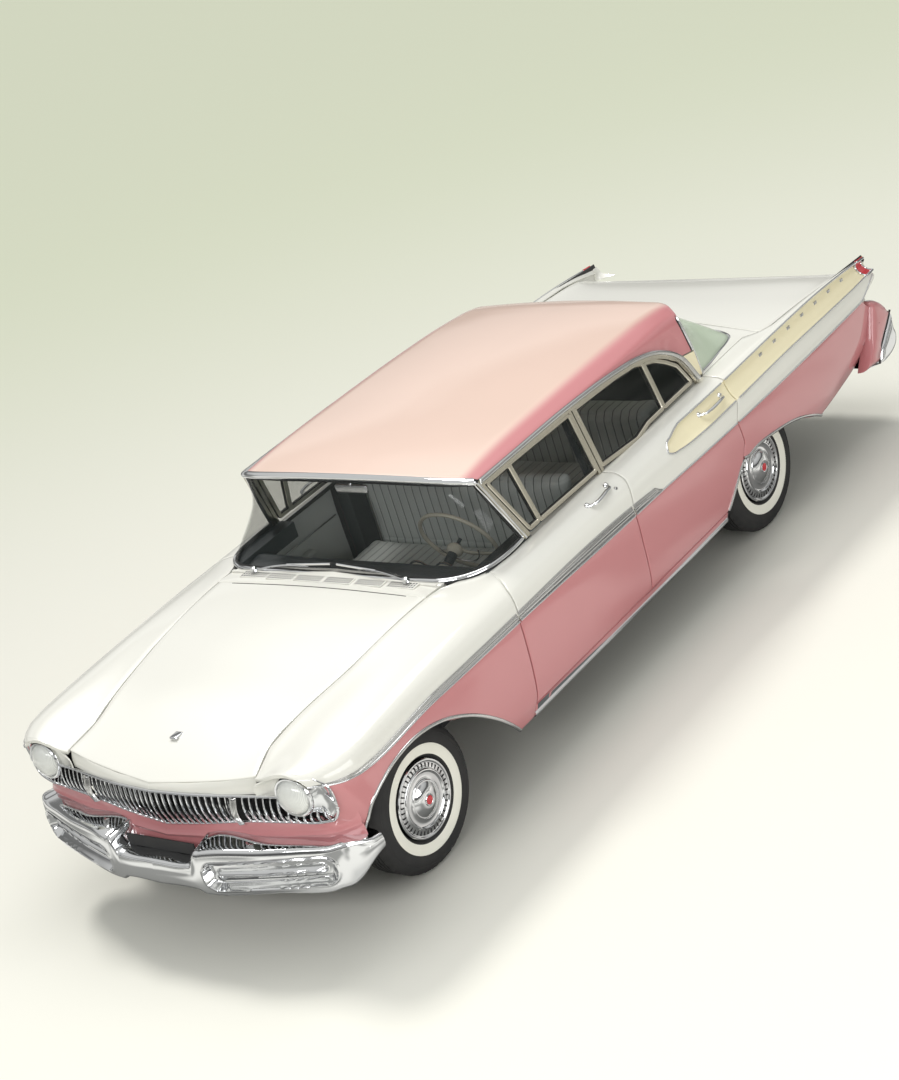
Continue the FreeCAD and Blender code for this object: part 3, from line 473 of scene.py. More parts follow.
def sweep(path, profile, up, closed=False, finish=0, scale=None):
    # a profile (sideways, up) carried along a path
    path = np.asarray(path, float)
    ahead = np.roll(path, -1, 0) - np.roll(path, 1, 0)
    if not closed:
        ahead[0], ahead[-1] = path[1] - path[0], path[-1] - path[-2]
    ahead = unit(ahead)
    up = np.broadcast_to(np.asarray(up, float), path.shape)
    side = unit(np.cross(ahead, up))
    top = unit(np.cross(side, ahead))
    profile = np.asarray(profile, float)
    size = np.ones(len(path)) if scale is None else np.asarray(scale, float)
    across = side[:, None] * profile[None, :, :1] + top[:, None] * profile[None, :, 1:]
    rows = path[:, None] + across * size[:, None, None]
    return Shape().grid(rows, finish, around=True, along=closed, caps=not closed)


def circle(r, steps=10, flat=1.0):
    a = np.linspace(0, 2 * math.pi, steps, endpoint=False)
    return np.stack([r * np.cos(a), r * flat * np.sin(a)], 1)


def roundBar(width, height, sides, base):
    # a half-round strip: flat underneath, crowned on top
    a = np.linspace(0, math.pi, sides + 2)
    top = [(width / 2 * math.cos(v), height * math.sin(v) ** 0.8) for v in a]
    return np.array([(-width / 2, -base), (width / 2, -base)] + top)


def lathe(profile, centre, axis, steps=48, finish=0):
    # profile of (radius, distance along the axis)
    axis = unit(axis)
    side = unit(np.cross(axis, (0, 0, 1) if abs(axis[2]) < 0.9 else (1, 0, 0)))
    other = np.cross(axis, side)
    a = np.linspace(0, 2 * math.pi, steps, endpoint=False)
    ringDir = np.cos(a)[:, None] * side + np.sin(a)[:, None] * other
    rows = [np.asarray(centre) + axis * d + ringDir * r for r, d in profile]
    return Shape().grid(rows, finish, around=True)


def softBox(low, high, r, steps=2):
    # a box with rounded edges
    low, high = np.asarray(low, float), np.asarray(high, float)
    r = min(r, float(np.min(high - low)) * .49)
    turn = np.tan(np.linspace(0, math.pi / 4, steps + 1))
    reach = np.concatenate([-turn[::-1], turn])
    side = np.concatenate([np.zeros(steps + 1), np.ones(steps + 1)])
    u, v = np.meshgrid(reach, reach, indexing="ij")
    su, sv = np.meshgrid(side, side, indexing="ij")
    made = Shape()
    for k in range(3):
        for end in (-1, 1):
            way, at = np.zeros((*u.shape, 3)), np.zeros((*u.shape, 3))
            way[..., k], at[..., k] = end, max(end, 0)
            way[..., (k + 1) % 3], at[..., (k + 1) % 3] = u, su
            way[..., (k + 2) % 3], at[..., (k + 2) % 3] = v, sv
            made.grid((low + r) * (1 - at) + (high - r) * at + unit(way) * r)
    return made


# y, then (x, z) of bottom, lower side, widest, shoulder, crown, deck edge, and the height at the middle
bodyRows = [
    (-2.60, (.850, .545), (.890, .630), (.985, .800), (.955, .862), (.800, .888), (.600, .800), .790),
    (-2.40, (.940, .500), (.968, .620), (.990, .806), (.962, .888), (.815, .915), (.588, .862), .872),
    (-2.20, (.955, .470), (.985, .610), (.997, .808), (.966, .900), (.830, .940), (.580, .915), .932),
    (-1.80, (.962, .400), (.990, .560), (1.000, .804), (.968, .910), (.855, .965), (.612, .968), .985),
    (-1.20, (.950, .315), (.988, .430), (1.003, .803), (.968, .915), (.880, .975), (.650, 1.010), 1.032),
    (-0.95, (.945, .312), (.988, .420), (1.003, .798), (.967, .913), (.892, .968), (.795, .982), 1.030),
    (0.00, (.945, .312), (.988, .420), (1.003, .785), (.966, .905), (.902, .960), (.795, .978), .985),
    (1.00, (.945, .330), (.988, .440), (1.003, .771), (.985, .864), (.925, .974), (.820, .985), .990),
    (1.55, (.945, .355), (.985, .475), (1.003, .775), (.985, .872), (.930, .992), (.860, .992), 1.000),
    (2.05, (.930, .400), (.976, .500), (1.000, .777), (.985, .872), (.930, .998), (.872, .966), .975),
    (2.40, (.900, .440), (.960, .540), (.990, .777), (.980, .870), (.926, .978), (.868, .928), .925),
    (2.66, (.850, .480), (.925, .560), (.965, .777), (.965, .864), (.918, .956), (.858, .862), .850),
]
softness = [0.0, 0.42, 0.30, 0.42, 0.46, 0.30, 0.5]
rowY = [r[0] for r in bodyRows]
rowControls = np.array([[*sum(r[1:7], ()), 0.0, r[7]] for r in bodyRows])
noseY = [-2.52, -2.508, -2.503, -2.492, -2.470, -2.435, -2.390, -2.330, -2.25, -2.15]
noseX = [.30, .60, .70, .80, .87, .92, .955, .985, 1.0, 1.003]


def skin(y, t):
    # a point of the left half of the body; t runs from 0 at the bottom edge to 6 at the middle
    y, t = np.broadcast_arrays(np.asarray(y, float), np.asarray(t, float))
    shape = y.shape
    y, t = y.ravel(), np.clip(t.ravel(), 0, 6)
    c = ease(rowY, rowControls, y).reshape(-1, 7, 2)
    c = np.concatenate([c, c[:, 5:6] * [-1, 1]], 1)
    soft = np.array(softness + [softness[5]])
    k = np.clip(np.floor(t).astype(int), 0, 5)
    f = t - k
    n = np.arange(len(t))
    out = c[n, k] * (1 - f)[:, None] + c[n, k + 1] * f[:, None]
    corner = np.where(f < soft[k], k, np.where(f > 1 - soft[k + 1], k + 1, -1))
    for i in np.unique(corner[corner > 0]):
        m = corner == i
        s = soft[i]
        a = c[m, i] + s * (c[m, i - 1] - c[m, i])
        b = c[m, i] + s * (c[m, i + 1] - c[m, i])
        u = ((t[m] - (i - s)) / (2 * s))[:, None]
        out[m] = (1 - u) ** 2 * a + 2 * u * (1 - u) * c[m, i] + u * u * b
    x, z = out[:, 0], out[:, 1]
    # the front corners turn in towards the nose
    reach = np.interp(y - 0.30 * np.maximum(0, 0.80 - z), noseY, noseX)
    x = np.where((x > .55) & (y < -2.15), .55 + (x - .55) * (reach - .55) / (1.003 - .55), x)
    return np.stack([x, y, z], 1).reshape(*shape, 3)


# the surface in a table, to look up t for a height or a width
levels = np.linspace(0, 6, 361)
tableY = np.linspace(-2.64, 2.68, 533)
table = skin(tableY[:, None], levels[None, :])
crest = [int(np.argmax(row[:241, 2])) for row in table]


def lookUp(y, v, inverse):
    # t for a value v at y, from the two nearest sections of the table
    y, v = np.broadcast_arrays(np.asarray(y, float), np.asarray(v, float))
    shape = y.shape
    y, v = y.ravel(), v.ravel()
    place = np.clip((y - tableY[0]) / (tableY[1] - tableY[0]), 0, len(tableY) - 1.001)
    low = place.astype(int)
    out = np.empty(len(y))
    for k in np.unique(low):
        m = low == k
        f = place[m] - k
        out[m] = inverse(k, v[m]) * (1 - f) + inverse(k + 1, v[m]) * f
    return out.reshape(shape)


def atHeight(y, z):
    # t of the point of the side at that height
    def inverse(k, v):
        top = crest[k] + 1
        return np.interp(v, table[k, :top, 2], levels[:top])
    return lookUp(np.atleast_1d(y), z, inverse)


def atWidth(y, x):
    # t of the point of the top at that distance from the middle
    return lookUp(np.atleast_1d(y), x, lambda k, v: np.interp(-v, -table[k, 150:, 0], levels[150:]))


def sideLine(points, count, smooth=True):
    # a line on the side, given as (y, z)
    p = along(points, count, smooth)
    return np.stack([p[:, 0], atHeight(p[:, 0], p[:, 1])], 1)


def normalsOf(rows):
    # unit normals of a grid of points
    du = np.gradient(rows, axis=1)
    dv = np.gradient(rows, axis=0)
    return unit(np.cross(du, dv))


def shellOf(rows, thick=0.018, r=0.0035, finish=None, inner=None, facing=(0, 0, 1), inside=None):
    # a curved sheet with walls: the outer grid, a rolled edge, and an inner grid
    rows = np.asarray(rows, float)
    m, n = rows.shape[:2]
    normal = normalsOf(rows)
    if np.sum(normal * np.asarray(facing)) < 0:
        normal = -normal
    edge = {"first": (slice(0, 1), slice(None)), "last": (slice(m - 1, m), slice(None)),
            "left": (slice(None), slice(0, 1)), "right": (slice(None), slice(n - 1, n))}
    back = {"first": (slice(1, 2), slice(None)), "last": (slice(m - 2, m - 1), slice(None)),
            "left": (slice(None), slice(1, 2)), "right": (slice(None), slice(n - 2, n - 1))}
    push = np.zeros_like(rows)
    for name in edge:
        push[edge[name]] += unit(rows[edge[name]] - rows[back[name]])
    outer = rows - push * r
    under = inner(rows) if inner else rows - normal * thick
    ringIndex = ([(0, j) for j in range(n)] + [(i, n - 1) for i in range(1, m)]
                 + [(m - 1, j) for j in range(n - 2, -1, -1)] + [(i, 0) for i in range(m - 2, 0, -1)])
    ri, rj = np.array(ringIndex).T
    p, d, q = rows[ri, rj], push[ri, rj], normal[ri, rj]
    full = np.linalg.norm(d, axis=1, keepdims=True) > 0.1
    rr = np.where(full, r, 0.0)
    ring = [p - d * rr]
    for a in (0.35 * math.pi / 2, 0.7 * math.pi / 2, 1.0 * math.pi / 2):
        ring.append(p - d * rr * (1 - math.sin(a)) - q * rr * (1 - math.cos(a)))
    ring.append(under[ri, rj])
    marks = finish if finish is not None else [[0] * (n - 1) for _ in range(m - 1)]
    out = Shape().grid(outer, marks)
    ringMarks = []
    for a, b in zip(ringIndex, ringIndex[1:] + ringIndex[:1]):
        i, j = min(a[0], b[0], m - 2), min(a[1], b[1], n - 2)
        ringMarks.append(marks[i][j])
    out.grid(ring, [ringMarks] * (len(ring) - 1), around=True)
    out.grid(under, [list(row) if inside is None else [inside] * (n - 1) for row in marks])
    return out


print("shapes ready")


gap = 0.0035         # half the gap round a door or lid


def curve(*points):
    # a smooth line through (place, value) points, as a function
    p = np.array(points, float)

    def line(v):
        inside = np.clip(np.ravel(v), p[0, 0], p[-1, 0])
        return ease(p[:, 0], p[:, 1], inside)[:, 0].reshape(np.shape(v))
    return line


# heights of the side trim and of the channel's two edges, then the wheel arches, all along y
trimZ = curve((-2.47, .848), (-2.39, .822), (-1.69, .806), (-1.04, .803), (-.02, .787), (.26, .785),
              (.60, .776), (.98, .770), (2.40, .777))
channelTop = curve((.402, .899), (.425, .921), (.50, .941), (.757, .966), (1.083, .976), (1.538, .988),
                   (2.012, .994), (2.60, .956))
channelLow = curve((.402, .896), (.425, .884), (.495, .872), (.699, .861), (1.058, .864), (1.597, .873),
                   (2.075, .872), (2.60, .868))
archZ = [(-2.29, .480), (-2.27, .550), (-2.23, .624), (-2.132, .690), (-1.99, .728), (-1.88, .733),
         (-1.716, .702),
         (-1.527, .612), (-1.367, .490), (-1.215, .333), (-1.200, .316)]
rearArchZ = [(.745, .378), (.834, .464), (.911, .533), (1.00, .560), (1.081, .567), (1.301, .549),
             (1.536, .500),
             (1.775, .396), (1.829, .366)]


def tAt(height):
    # the line at a height, as t along the body
    return lambda y: atHeight(y, height(y))


def flat(value):
    # the same value all along the body
    return lambda y: np.full(np.shape(y), float(value))


def edgeT(points):
    # the line on the top at a distance from the middle, as t along the body
    p = np.array(points, float)
    return lambda y: atWidth(y, np.interp(y, p[:, 1], p[:, 0]))


def cutLine(points):
    # where a door's edge runs, as y for each t: points (y, z), or (y, x) above the crown
    pts = []
    for y, v, *above in points:
        t = atWidth(y, v)[0] if above else atHeight(y, v)[0]
        pts.append((t, y))
    pts = np.array(sorted(pts))
    return lambda t: np.interp(t, pts[:, 0], pts[:, 1])


def patch(lines, counts, front, rear, columns):
    # a panel between its front and rear cuts, with rows that follow the lines across
    v = np.concatenate([np.linspace(i, i + 1, c, endpoint=False) for i, c in enumerate(counts)]
                       + [[len(lines) - 1.0]])
    u = np.linspace(0, 1, columns)
    y = np.tile(np.linspace(front(2.0), rear(2.0), columns), (len(v), 1))
    for _ in range(4):
        levelsHere = np.stack([line(y) for line in lines], 1)
        t = np.empty_like(y)
        for i, place in enumerate(v):
            k = min(int(place), len(lines) - 2)
            f = place - k
            t[i] = levelsHere[i, k] * (1 - f) + levelsHere[i, k + 1] * f
        y = front(t) * (1 - u) + rear(t) * u
    return y, t


def finishRows(counts, finishes, columns):
    return [[f] * (columns - 1) for c, f in zip(counts, finishes) for _ in range(c)]


def sink(y, t):
    # the concave channel, deepest along its middle and fading out at its tip
    low, top = tAt(channelLow), tAt(channelTop)
    a, b = low(y), top(y)
    w = np.clip((t - a) / np.maximum(b - a, 1e-6), 0, 1)
    fade = np.clip((y - .40) / .22, 0, 1) ** 0.6
    return .024 * fade * np.sin(math.pi * w) ** 0.55


def shown(y, t, channel=False):
    rows = skin(y, t)
    if channel:
        d = sink(y, t)
        rows = rows - np.stack([d, np.zeros_like(d), d * 0.25], -1)
    return rows


def doorBack(rows):
    # the inner face of a door: flat at the trim, narrow above the belt
    x = np.interp(rows[..., 2], [.30, .900, .935, .965, 1.1], [.893, .893, .80, .775, .775])
    return np.stack([np.minimum(x, rows[..., 0] - .012), rows[..., 1], rows[..., 2]], -1)


# cuts between the panels: (y, z), and (y, x, 1) where the panel has turned over to the top
frontCut = [(-1.075, .315), (-1.060, .378), (-1.046, .42), (-1.036, .60), (-1.034, .79), (-1.020, .83),
            (-1.008, .87),
            (-.987, .935), (-.940, .86, 1), (-.915, .80, 1), (-.90, .65, 1)]
middleCut = [(-.019, .315), (-.019, .378), (-.019, .79), (-.003, .83), (.019, .87), (.033, .895),
             (.060, .935),
             (.073, .86, 1), (.056, .80, 1), (.03, .65, 1)]
rearCut = [(.951, .315), (.951, .572), (.999, .643), (.976, .770), (1.010, .82), (1.051, .868), (1.064, .94),
           (1.067, .86, 1), (1.067, .80, 1), (1.067, .65, 1)]


def shifted(cut, by):
    line = cutLine(cut)
    return lambda t: line(t) + by


def lower(bottom, y0, y1, columns):
    # the guides of a pink panel, from its bottom line (y, z) up to the side trim
    b = along(bottom, columns)
    top = np.stack([np.interp(np.linspace(0, 1, columns), *matching(b, y0, y1)), np.zeros(columns)], 1)
    top[:, 1] = trimZ(top[:, 0])
    return np.stack([np.stack([p[:, 0], atHeight(p[:, 0], p[:, 1])], 1) for p in (b, top)])


def matching(b, y0, y1):
    # spreads the top line's places over the bottom line's own
    ys = np.clip(b[:, 0], y0, y1)
    share = np.linspace(0, 1, len(b))
    blend = 0.75 * (ys - ys[0]) / (ys[-1] - ys[0]) + 0.25 * share
    return share, y0 + (y1 - y0) * blend


def ruled(guides, count, front=None, rear=None):
    # rows between a bottom and a top line, with the cut edges followed at both ends
    a, b = guides
    rows = np.array([a * (1 - f) + b * f for f in np.linspace(0, 1, count + 1)])
    y, t = rows[..., 0].copy(), rows[..., 1]
    n = y.shape[1]
    pull = np.linspace(0, 1, n)
    for edge, weight in ((front, np.clip(1 - pull * 6, 0, 1)), (rear, np.clip(1 - (1 - pull) * 6, 0, 1))):
        if edge is not None:
            at = 0 if weight[0] == 1 else -1
            y += (edge(t[:, at]) - y[:, at])[:, None] * weight
    return y, t


def makePanel(name, blocks, body, inner=None, replaced=None):
    # blocks: (y, t, finish, channel), each a grid
    made = Shape()
    for y, t, marks, channel in blocks:
        rows = shown(y, t, channel)
        if not hasattr(marks, "__len__"):
            marks = [[marks] * (y.shape[1] - 1) for _ in range(y.shape[0] - 1)]
        made.join(shellOf(rows, finish=marks, inner=inner, facing=(1, 0, .6), inside=3))
    things = made.pair(name, [pinkPaint, whitePaint, goldPaint, underPaint], body)
    for side, thing in zip(("left", "right"), things):
        if replaced:
            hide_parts(replaced.format(side=side))


# front fender: white above the trim, pink below it round the wheel
hoodEdge = [(.576, -2.442), (.541, -2.287), (.566, -2.081), (.612, -1.755), (.646, -1.205)]
fenderEdge = [(.586, -2.56), (.583, -2.442), (.548, -2.287), (.573, -2.081), (.619, -1.755), (.655, -1.205),
              (.664, -1.11), (.71, -1.02), (.76, -.95), (.80, -.89)]
browY = curve((0, -2.39), (1.6, -2.40), (2.0, -2.425), (2.3, -2.445), (3.0, -2.462), (4.0, -2.462),
              (4.6, -2.462),
              (5.2, -2.455), (6.0, -2.47))
upperLines = [tAt(trimZ), flat(3.0), flat(3.9), edgeT(fenderEdge)]
upperCounts = (7, 8, 10)
yUp, tUp = patch(upperLines, upperCounts, browY, shifted(frontCut, -gap), 90)
fenderFront = curve((0, -2.40), (1.0, -2.385), (2.3, -2.41))
bottomFront = [(-2.42, .500), (-2.30, .475)] + archZ + [(-1.078, .316)]
yLow, tLow = ruled(lower(bottomFront, -2.43, -1.04, 90), 14, fenderFront, shifted(frontCut, -gap))
makePanel("frontFender", [(yUp, tUp, 1, False), (yLow, tLow, 0, False)], "body",
          replaced="front_fender_{side}")

# doors
frontTop = [(.80, -1.0), (.80, .2)]
doorLines = [tAt(flat(.380)), tAt(flat(.470)), tAt(trimZ), flat(3.0), flat(3.9), edgeT(frontTop)]
doorCounts = (3, 12, 7, 7, 6)
y1, t1 = patch(doorLines, doorCounts, shifted(frontCut, gap), shifted(middleCut, -gap), 60)
makePanel("frontDoor", [(y1, t1, finishRows(doorCounts, (0, 0, 1, 1, 1), 60), False)], "door_front_{side}",
          inner=doorBack, replaced="door_front_{side}")

rearTop = [(.80, 0.0), (.80, 1.2)]
rearBottom = [(-.0155, .380), (.748, .380), (.82, .452), (.90, .528), (.949, .5715)]
columns = 66
doorFront, doorRear = shifted(middleCut, gap), shifted(rearCut, -gap)
yb, tb = ruled(lower(rearBottom, -.0155, .972, columns), 14, doorFront, doorRear)
upperDoor = [tAt(trimZ), tAt(channelLow), tAt(channelTop), edgeT(rearTop)]
upperDoorCounts = (7, 12, 7)
yc, tc = patch(upperDoor, upperDoorCounts, doorFront, doorRear, columns)
gold = [[2 if (7 <= i < 19 and yc[i, j] > .41) else 1 for j in range(columns - 1)] for i in range(26)]
makePanel("rearDoor", [(yb, tb, 0, False), (yc, tc, gold, True)], "door_rear_{side}", inner=doorBack,
          replaced="door_rear_{side}")

# rear quarter
quarterTop = [(.79, .9), (.79, 1.50), (.850, 1.576), (.882, 1.66), (.890, 2.279), (.876, 2.66)]
tailUpper = curve((1.9, 2.392), (2.1, 2.45), (2.5, 2.60), (3.0, 2.602), (3.5, 2.612), (4.0, 2.632),
                  (6, 2.632))
quarterBottom = [(.952 + 2 * gap, .5735)] + rearArchZ[3:] + [(2.35, .429), (2.509, .503), (2.654, .522)]
yq, tq = ruled(lower(quarterBottom, .982, 2.392, 100), 14, shifted(rearCut, gap),
               curve((0, 2.654), (.6, 2.655), (1.1, 2.625), (1.5, 2.54), (1.75, 2.46), (2.1, 2.392)))
quarterLines = [tAt(trimZ), tAt(channelLow), tAt(channelTop), edgeT(quarterTop)]
quarterCounts = (7, 12, 9)
yr, tr = patch(quarterLines, quarterCounts, shifted(rearCut, gap), tailUpper, 100)
quarterMarks = finishRows(quarterCounts, (1, 2, 1), 100)
makePanel("rearQuarter", [(yq, tq, 0, False), (yr, tr, quarterMarks, True)], "body",
          replaced="quarter_panel_{side}")

# rocker under the doors
yRock, tRock = ruled(np.array([[(y, 0.0) for y in np.linspace(-1.072, .748, 40)],
                               [(y, atHeight(y, .372)[0]) for y in np.linspace(-1.062, .748, 40)]]), 4)
makePanel("rocker", [(yRock, tRock, 0, False)], "body")
print("side panels made")

hoodMiddle = {"line": [(0, -2.538), (0, -2.20), (0, -1.70), (0, -1.216)], "bow": 0.030}


def makeHood():
    # from its side edge to the middle line, both (x, y) lists, mirrored over; its nose bows forward
    count = 90
    a, b = along(hoodEdge, count, True), along(hoodMiddle["line"], count, True)
    rows = []
    for f in np.linspace(0, 1, 20):
        p = a * (1 - f) + b * f
        p[:, 1] -= hoodMiddle["bow"] * np.sin(math.pi * f / 2) * (1 - np.linspace(0, 1, count)) * (1 - f)
        rows.append(np.stack([p[:, 1], atWidth(p[:, 1], p[:, 0])], 1))
    rows = np.array(rows)
    left = skin(rows[..., 0], rows[..., 1])
    full = np.concatenate([left, left[-2::-1] * np.array([-1, 1, 1])])
    return shellOf(full, facing=(0, 0, 1)).build("hoodPanel", [whitePaint], "hood")


hood = makeHood()
deckFront = [(0, 1.640), (.456, 1.618), (.644, 1.570), (.712, 1.505), (.752, 1.30), (.768, 1.09)]
lidFront = [(0, 1.731), (.368, 1.696), (.842, 1.577), (.785, 1.504), (.785, 1.30), (.785, 1.09)]


def makeDeck():
    # the strip between the backlight and the lid
    a, b = along(deckFront, 150), along(lidFront, 150)
    rows = []
    for f in np.linspace(0, 1, 6):
        p = a * (1 - f) + b * f
        rows.append(np.stack([p[:, 1], atWidth(p[:, 1], p[:, 0])], 1))
    rows = np.array(rows)
    left = skin(rows[..., 0], rows[..., 1])
    full = np.concatenate([left[:, ::-1] * np.array([-1, 1, 1]), left[:, 1:]], axis=1)
    return shellOf(full, .012, facing=(0, 0, 1)).build("deckPanel", [whitePaint], "body")


deck = makeDeck()


def lidShape():
    # flat-topped lid that rolls over into the tail
    rows = []
    roll = [0, .28, .58, .80, 1]
    for s in np.linspace(0, 1, 60):
        row = []
        for f in np.linspace(-1, 1, 61):
            front = np.interp(abs(f) * .868, [0, .368, .845], [1.738, 1.701, 1.582])
            y = front + (2.40 - front) * min(s / .62, 1.0)
            half = np.interp(y, [1.58, 1.66, 2.279, 2.60], [.845, .872, .880, .868])
            x = half * f
            if s <= .62:
                t = atWidth(y, abs(x))[0]
                p = skin(y, t)
                row.append((x, p[1], p[2]))
            else:
                g = (s - .62) / .38
                top = skin(2.40, atWidth(2.40, abs(x))[0])[2]
                y = ease(roll, [2.40, 2.50, 2.572, 2.596, 2.600], g)[0, 0]
                z = ease(roll, [top, top - .034, top - .095, top - .155, .690], g)[0, 0]
                row.append((x, y, z))
        rows.append(row)
    return shellOf(np.array(rows), .016, facing=(0, 0, 1))


lid = lidShape().build("lidPanel", [whitePaint], "trunk_lid")

hinges = {
    "hood": {"pin": (.570, -1.128, .975), "body": "hood",
             "path": [(-1.330, .975), (-1.262, .957), (-1.215, .930), (-1.165, .935), (-1.128, .975)]},
    "lid": {"pin": (.520, 1.800, .960), "body": "trunk_lid",
            "path": [(1.960, .950), (1.900, .930), (1.845, .935), (1.800, .960)]}}


def hingeParts(name, pin, path, body):
    # two goose-neck arms on the panel, and the brackets with their pins on the body
    arms, fixed = Shape(), Shape()
    armBar = [(-.006, -.011), (.006, -.011), (.006, .011), (-.006, .011)]
    for s in (-1, 1):
        line = along([(s * pin[0], y, z) for y, z in path], 30, True)
        arms.join(sweep(line, armBar, (0, 0, 1)))
        x, y, z = s * pin[0], pin[1], pin[2]
        arms.join(lathe([(0, -.007), (.014, -.007), (.014, .007), (0, .007)], (x, y, z), (1, 0, 0), 28))
        fixed.join(lathe([(0, -.017), (.006, -.017), (.006, .017), (0, .017)], (x, y, z), (1, 0, 0), 24))
        for side in (x - .014, x + .014):
            fixed.join(softBox((side - .003, y - .018, z - .060), (side + .003, y + .018, z + .016), .0025))
    arms.build(name + "Arms", [underPaint], body)
    fixed.build(name + "Brackets", [underPaint], "body")


for name, d in hinges.items():
    hingeParts(name, **d)
for panel, node in ((hood, "hood"), (lid, "trunk_lid"), (deck, "rear_deck")):
    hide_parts(node)
print("top panels made")

# y, then (x, z) of the lower edge, rail and crease, and the height at the middle
roofRows = [
    (-0.79, (.727, 1.340), (.722, 1.352), (.680, 1.372), 1.392),
    (-0.60, (.736, 1.338), (.732, 1.358), (.672, 1.390), 1.414),
    (0.00, (.740, 1.334), (.735, 1.356), (.664, 1.400), 1.434),
    (0.60, (.738, 1.302), (.728, 1.342), (.656, 1.392), 1.429),
    (0.85, (.745, 1.230), (.722, 1.332), (.648, 1.384), 1.416),
    (1.00, (.752, 1.135), (.716, 1.320), (.640, 1.374), 1.403),
    (1.095, (.752, 1.112), (.712, 1.308), (.634, 1.366), 1.391),
    (1.20, (.735, 1.112), (.700, 1.290), (.620, 1.350), 1.366),
]


def roofSkin(y, t):
    # t runs from 0 at the lower edge over 1 rail and 2 crease to 3 in the middle
    y, t = np.broadcast_arrays(np.asarray(y, float), np.asarray(t, float))
    shape = y.shape
    y, t = y.ravel(), t.ravel()
    c = ease([r[0] for r in roofRows], [[*sum(r[1:4], ()), r[4]] for r in roofRows], y)
    low, rail, crease, top = c[:, 0:2], c[:, 2:4], c[:, 4:6], c[:, 6]
    crown = np.stack([np.full_like(top, .30), top + .002], 1)
    middle = np.stack([np.zeros_like(top), top], 1)
    out = np.where((t < 1)[:, None], low + (rail - low) * t[:, None],
                   rail + (crease - rail) * (t - 1)[:, None])
    u = np.clip(t - 2, 0, 1)[:, None]
    out = np.where((t > 2)[:, None], (1 - u) ** 2 * crease + 2 * u * (1 - u) * crown + u * u * middle, out)
    ahead = crease + (crown - crease) * .30
    for knot, soft, a, b in ((1, .36, low, crease), (2, .34, rail, ahead)):
        m = np.abs(t - knot) < soft
        corner = rail if knot == 1 else crease
        w = ((t - knot + soft) / (2 * soft))[:, None]
        p, q = corner + (a - corner) * soft, corner + (b - corner) * (soft if knot == 1 else 2 * soft)
        out = np.where(m[:, None], (1 - w) ** 2 * p + 2 * w * (1 - w) * corner + w * w * q, out)
    return np.stack([out[:, 0], y, out[:, 1]], 1).reshape(*shape, 3)


def makeRoof():
    t = np.concatenate([np.linspace(0, .6, 7), np.linspace(.68, 2.36, 22), np.linspace(2.45, 3, 12)])
    front = np.interp(t, [0, 1, 2, 3], [-.735, -.752, -.775, -.792])
    rear = np.interp(t, [0, .9, 1.2, 2, 3], [1.100, 1.110, 1.122, 1.160, 1.196])
    u = np.linspace(0, 1, 90)
    y = front[:, None] * (1 - u) + rear[:, None] * u
    left = roofSkin(y, t[:, None] + 0 * y)
    full = np.concatenate([left, left[-2::-1] * [-1, 1, 1]])
    roof = shellOf(full, .022, .005, facing=(0, 0, 1)).build("roofPanel", [roofPaint], "body")
    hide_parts("roof")


makeRoof()

# the wrapped glass, from the middle round to the side edge: base line and top line
screenBase = [(0, -1.092, 1.018), (.30, -1.088, 1.017), (.52, -1.078, 1.013), (.66, -1.048, 1.006),
              (.74, -.985, 1.000),
              (.785, -.90, .994), (.800, -.80, .990), (.802, -.70, .990), (.796, -.612, .992)]
screenTop = [(0, -.793, 1.372), (.30, -.790, 1.369), (.52, -.783, 1.362), (.64, -.773, 1.356),
             (.69, -.764, 1.353),
             (.710, -.757, 1.350), (.716, -.752, 1.348), (.720, -.748, 1.347), (.724, -.744, 1.346)]
rearBase = [(0, 1.648, .988), (.30, 1.640, .988), (.50, 1.612, .989), (.64, 1.566, .991), (.70, 1.520, .991),
            (.722, 1.46, .990), (.740, 1.34, .989), (.758, 1.22, .988), (.768, 1.105, .988)]
rearTop = [(0, 1.186, 1.345), (.30, 1.182, 1.341), (.50, 1.166, 1.333), (.61, 1.146, 1.322),
           (.668, 1.128, 1.310),
           (.690, 1.118, 1.300), (.700, 1.112, 1.295), (.706, 1.108, 1.290), (.712, 1.102, 1.285)]


def wrapRows(base, top, belly, centre):
    # the glass bellies away from a centre along y, most of all in the middle
    columns = 41
    a, b = along(base, columns, True), along(top, columns, True)
    rows = []
    for f in np.linspace(0, 1, 16):
        row = a * (1 - f) + b * f
        out = unit(np.stack([row[:, 0] * 1.3, row[:, 1] - centre, np.zeros(columns)], 1))
        rows.append(row + out * belly * math.sin(math.pi * f) * np.linspace(1, .4, columns)[:, None])
    half = np.array(rows)
    return np.concatenate([half[:, ::-1] * [-1, 1, 1], half[:, 1:]], axis=1)


def glassSheet(name, rows, finish, node):
    made = shellOf(rows, .005, .001, facing=(0, 0, 1)).build(name, [finish], "body")
    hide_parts(node)


screenRows = wrapRows(screenBase, screenTop, .012, 0)
rearRows = wrapRows(rearBase, rearTop, .020, .3)
glassSheet("windshieldGlass", screenRows, glassClear, "windshield")
glassSheet("rearGlass", rearRows, glassGreen, "rear_window")


def rimOf(rows):
    return np.concatenate([rows[0], rows[1:-1, -1], rows[-1, ::-1], rows[-2:0:-1, 0]])


def outwardOf(rows):
    n = normalsOf(rows)
    if np.sum(n * [0, 0, 1]) < 0:
        n = -n
    return rimOf(n)


for name, rows in (("screenReveal", screenRows), ("rearReveal", rearRows)):
    rim, outward = rimOf(rows), outwardOf(rows)
    sweep(rim, roundBar(.020, .007, 4, .006), outward, True).build(name, [chrome])
    flatBar = [(-.018, -.006), (.018, -.006), (.018, .002), (-.018, .002)]
    sweep(rim - outward * .004, flatBar, outward, True).build(name + "Seal", [rubber])
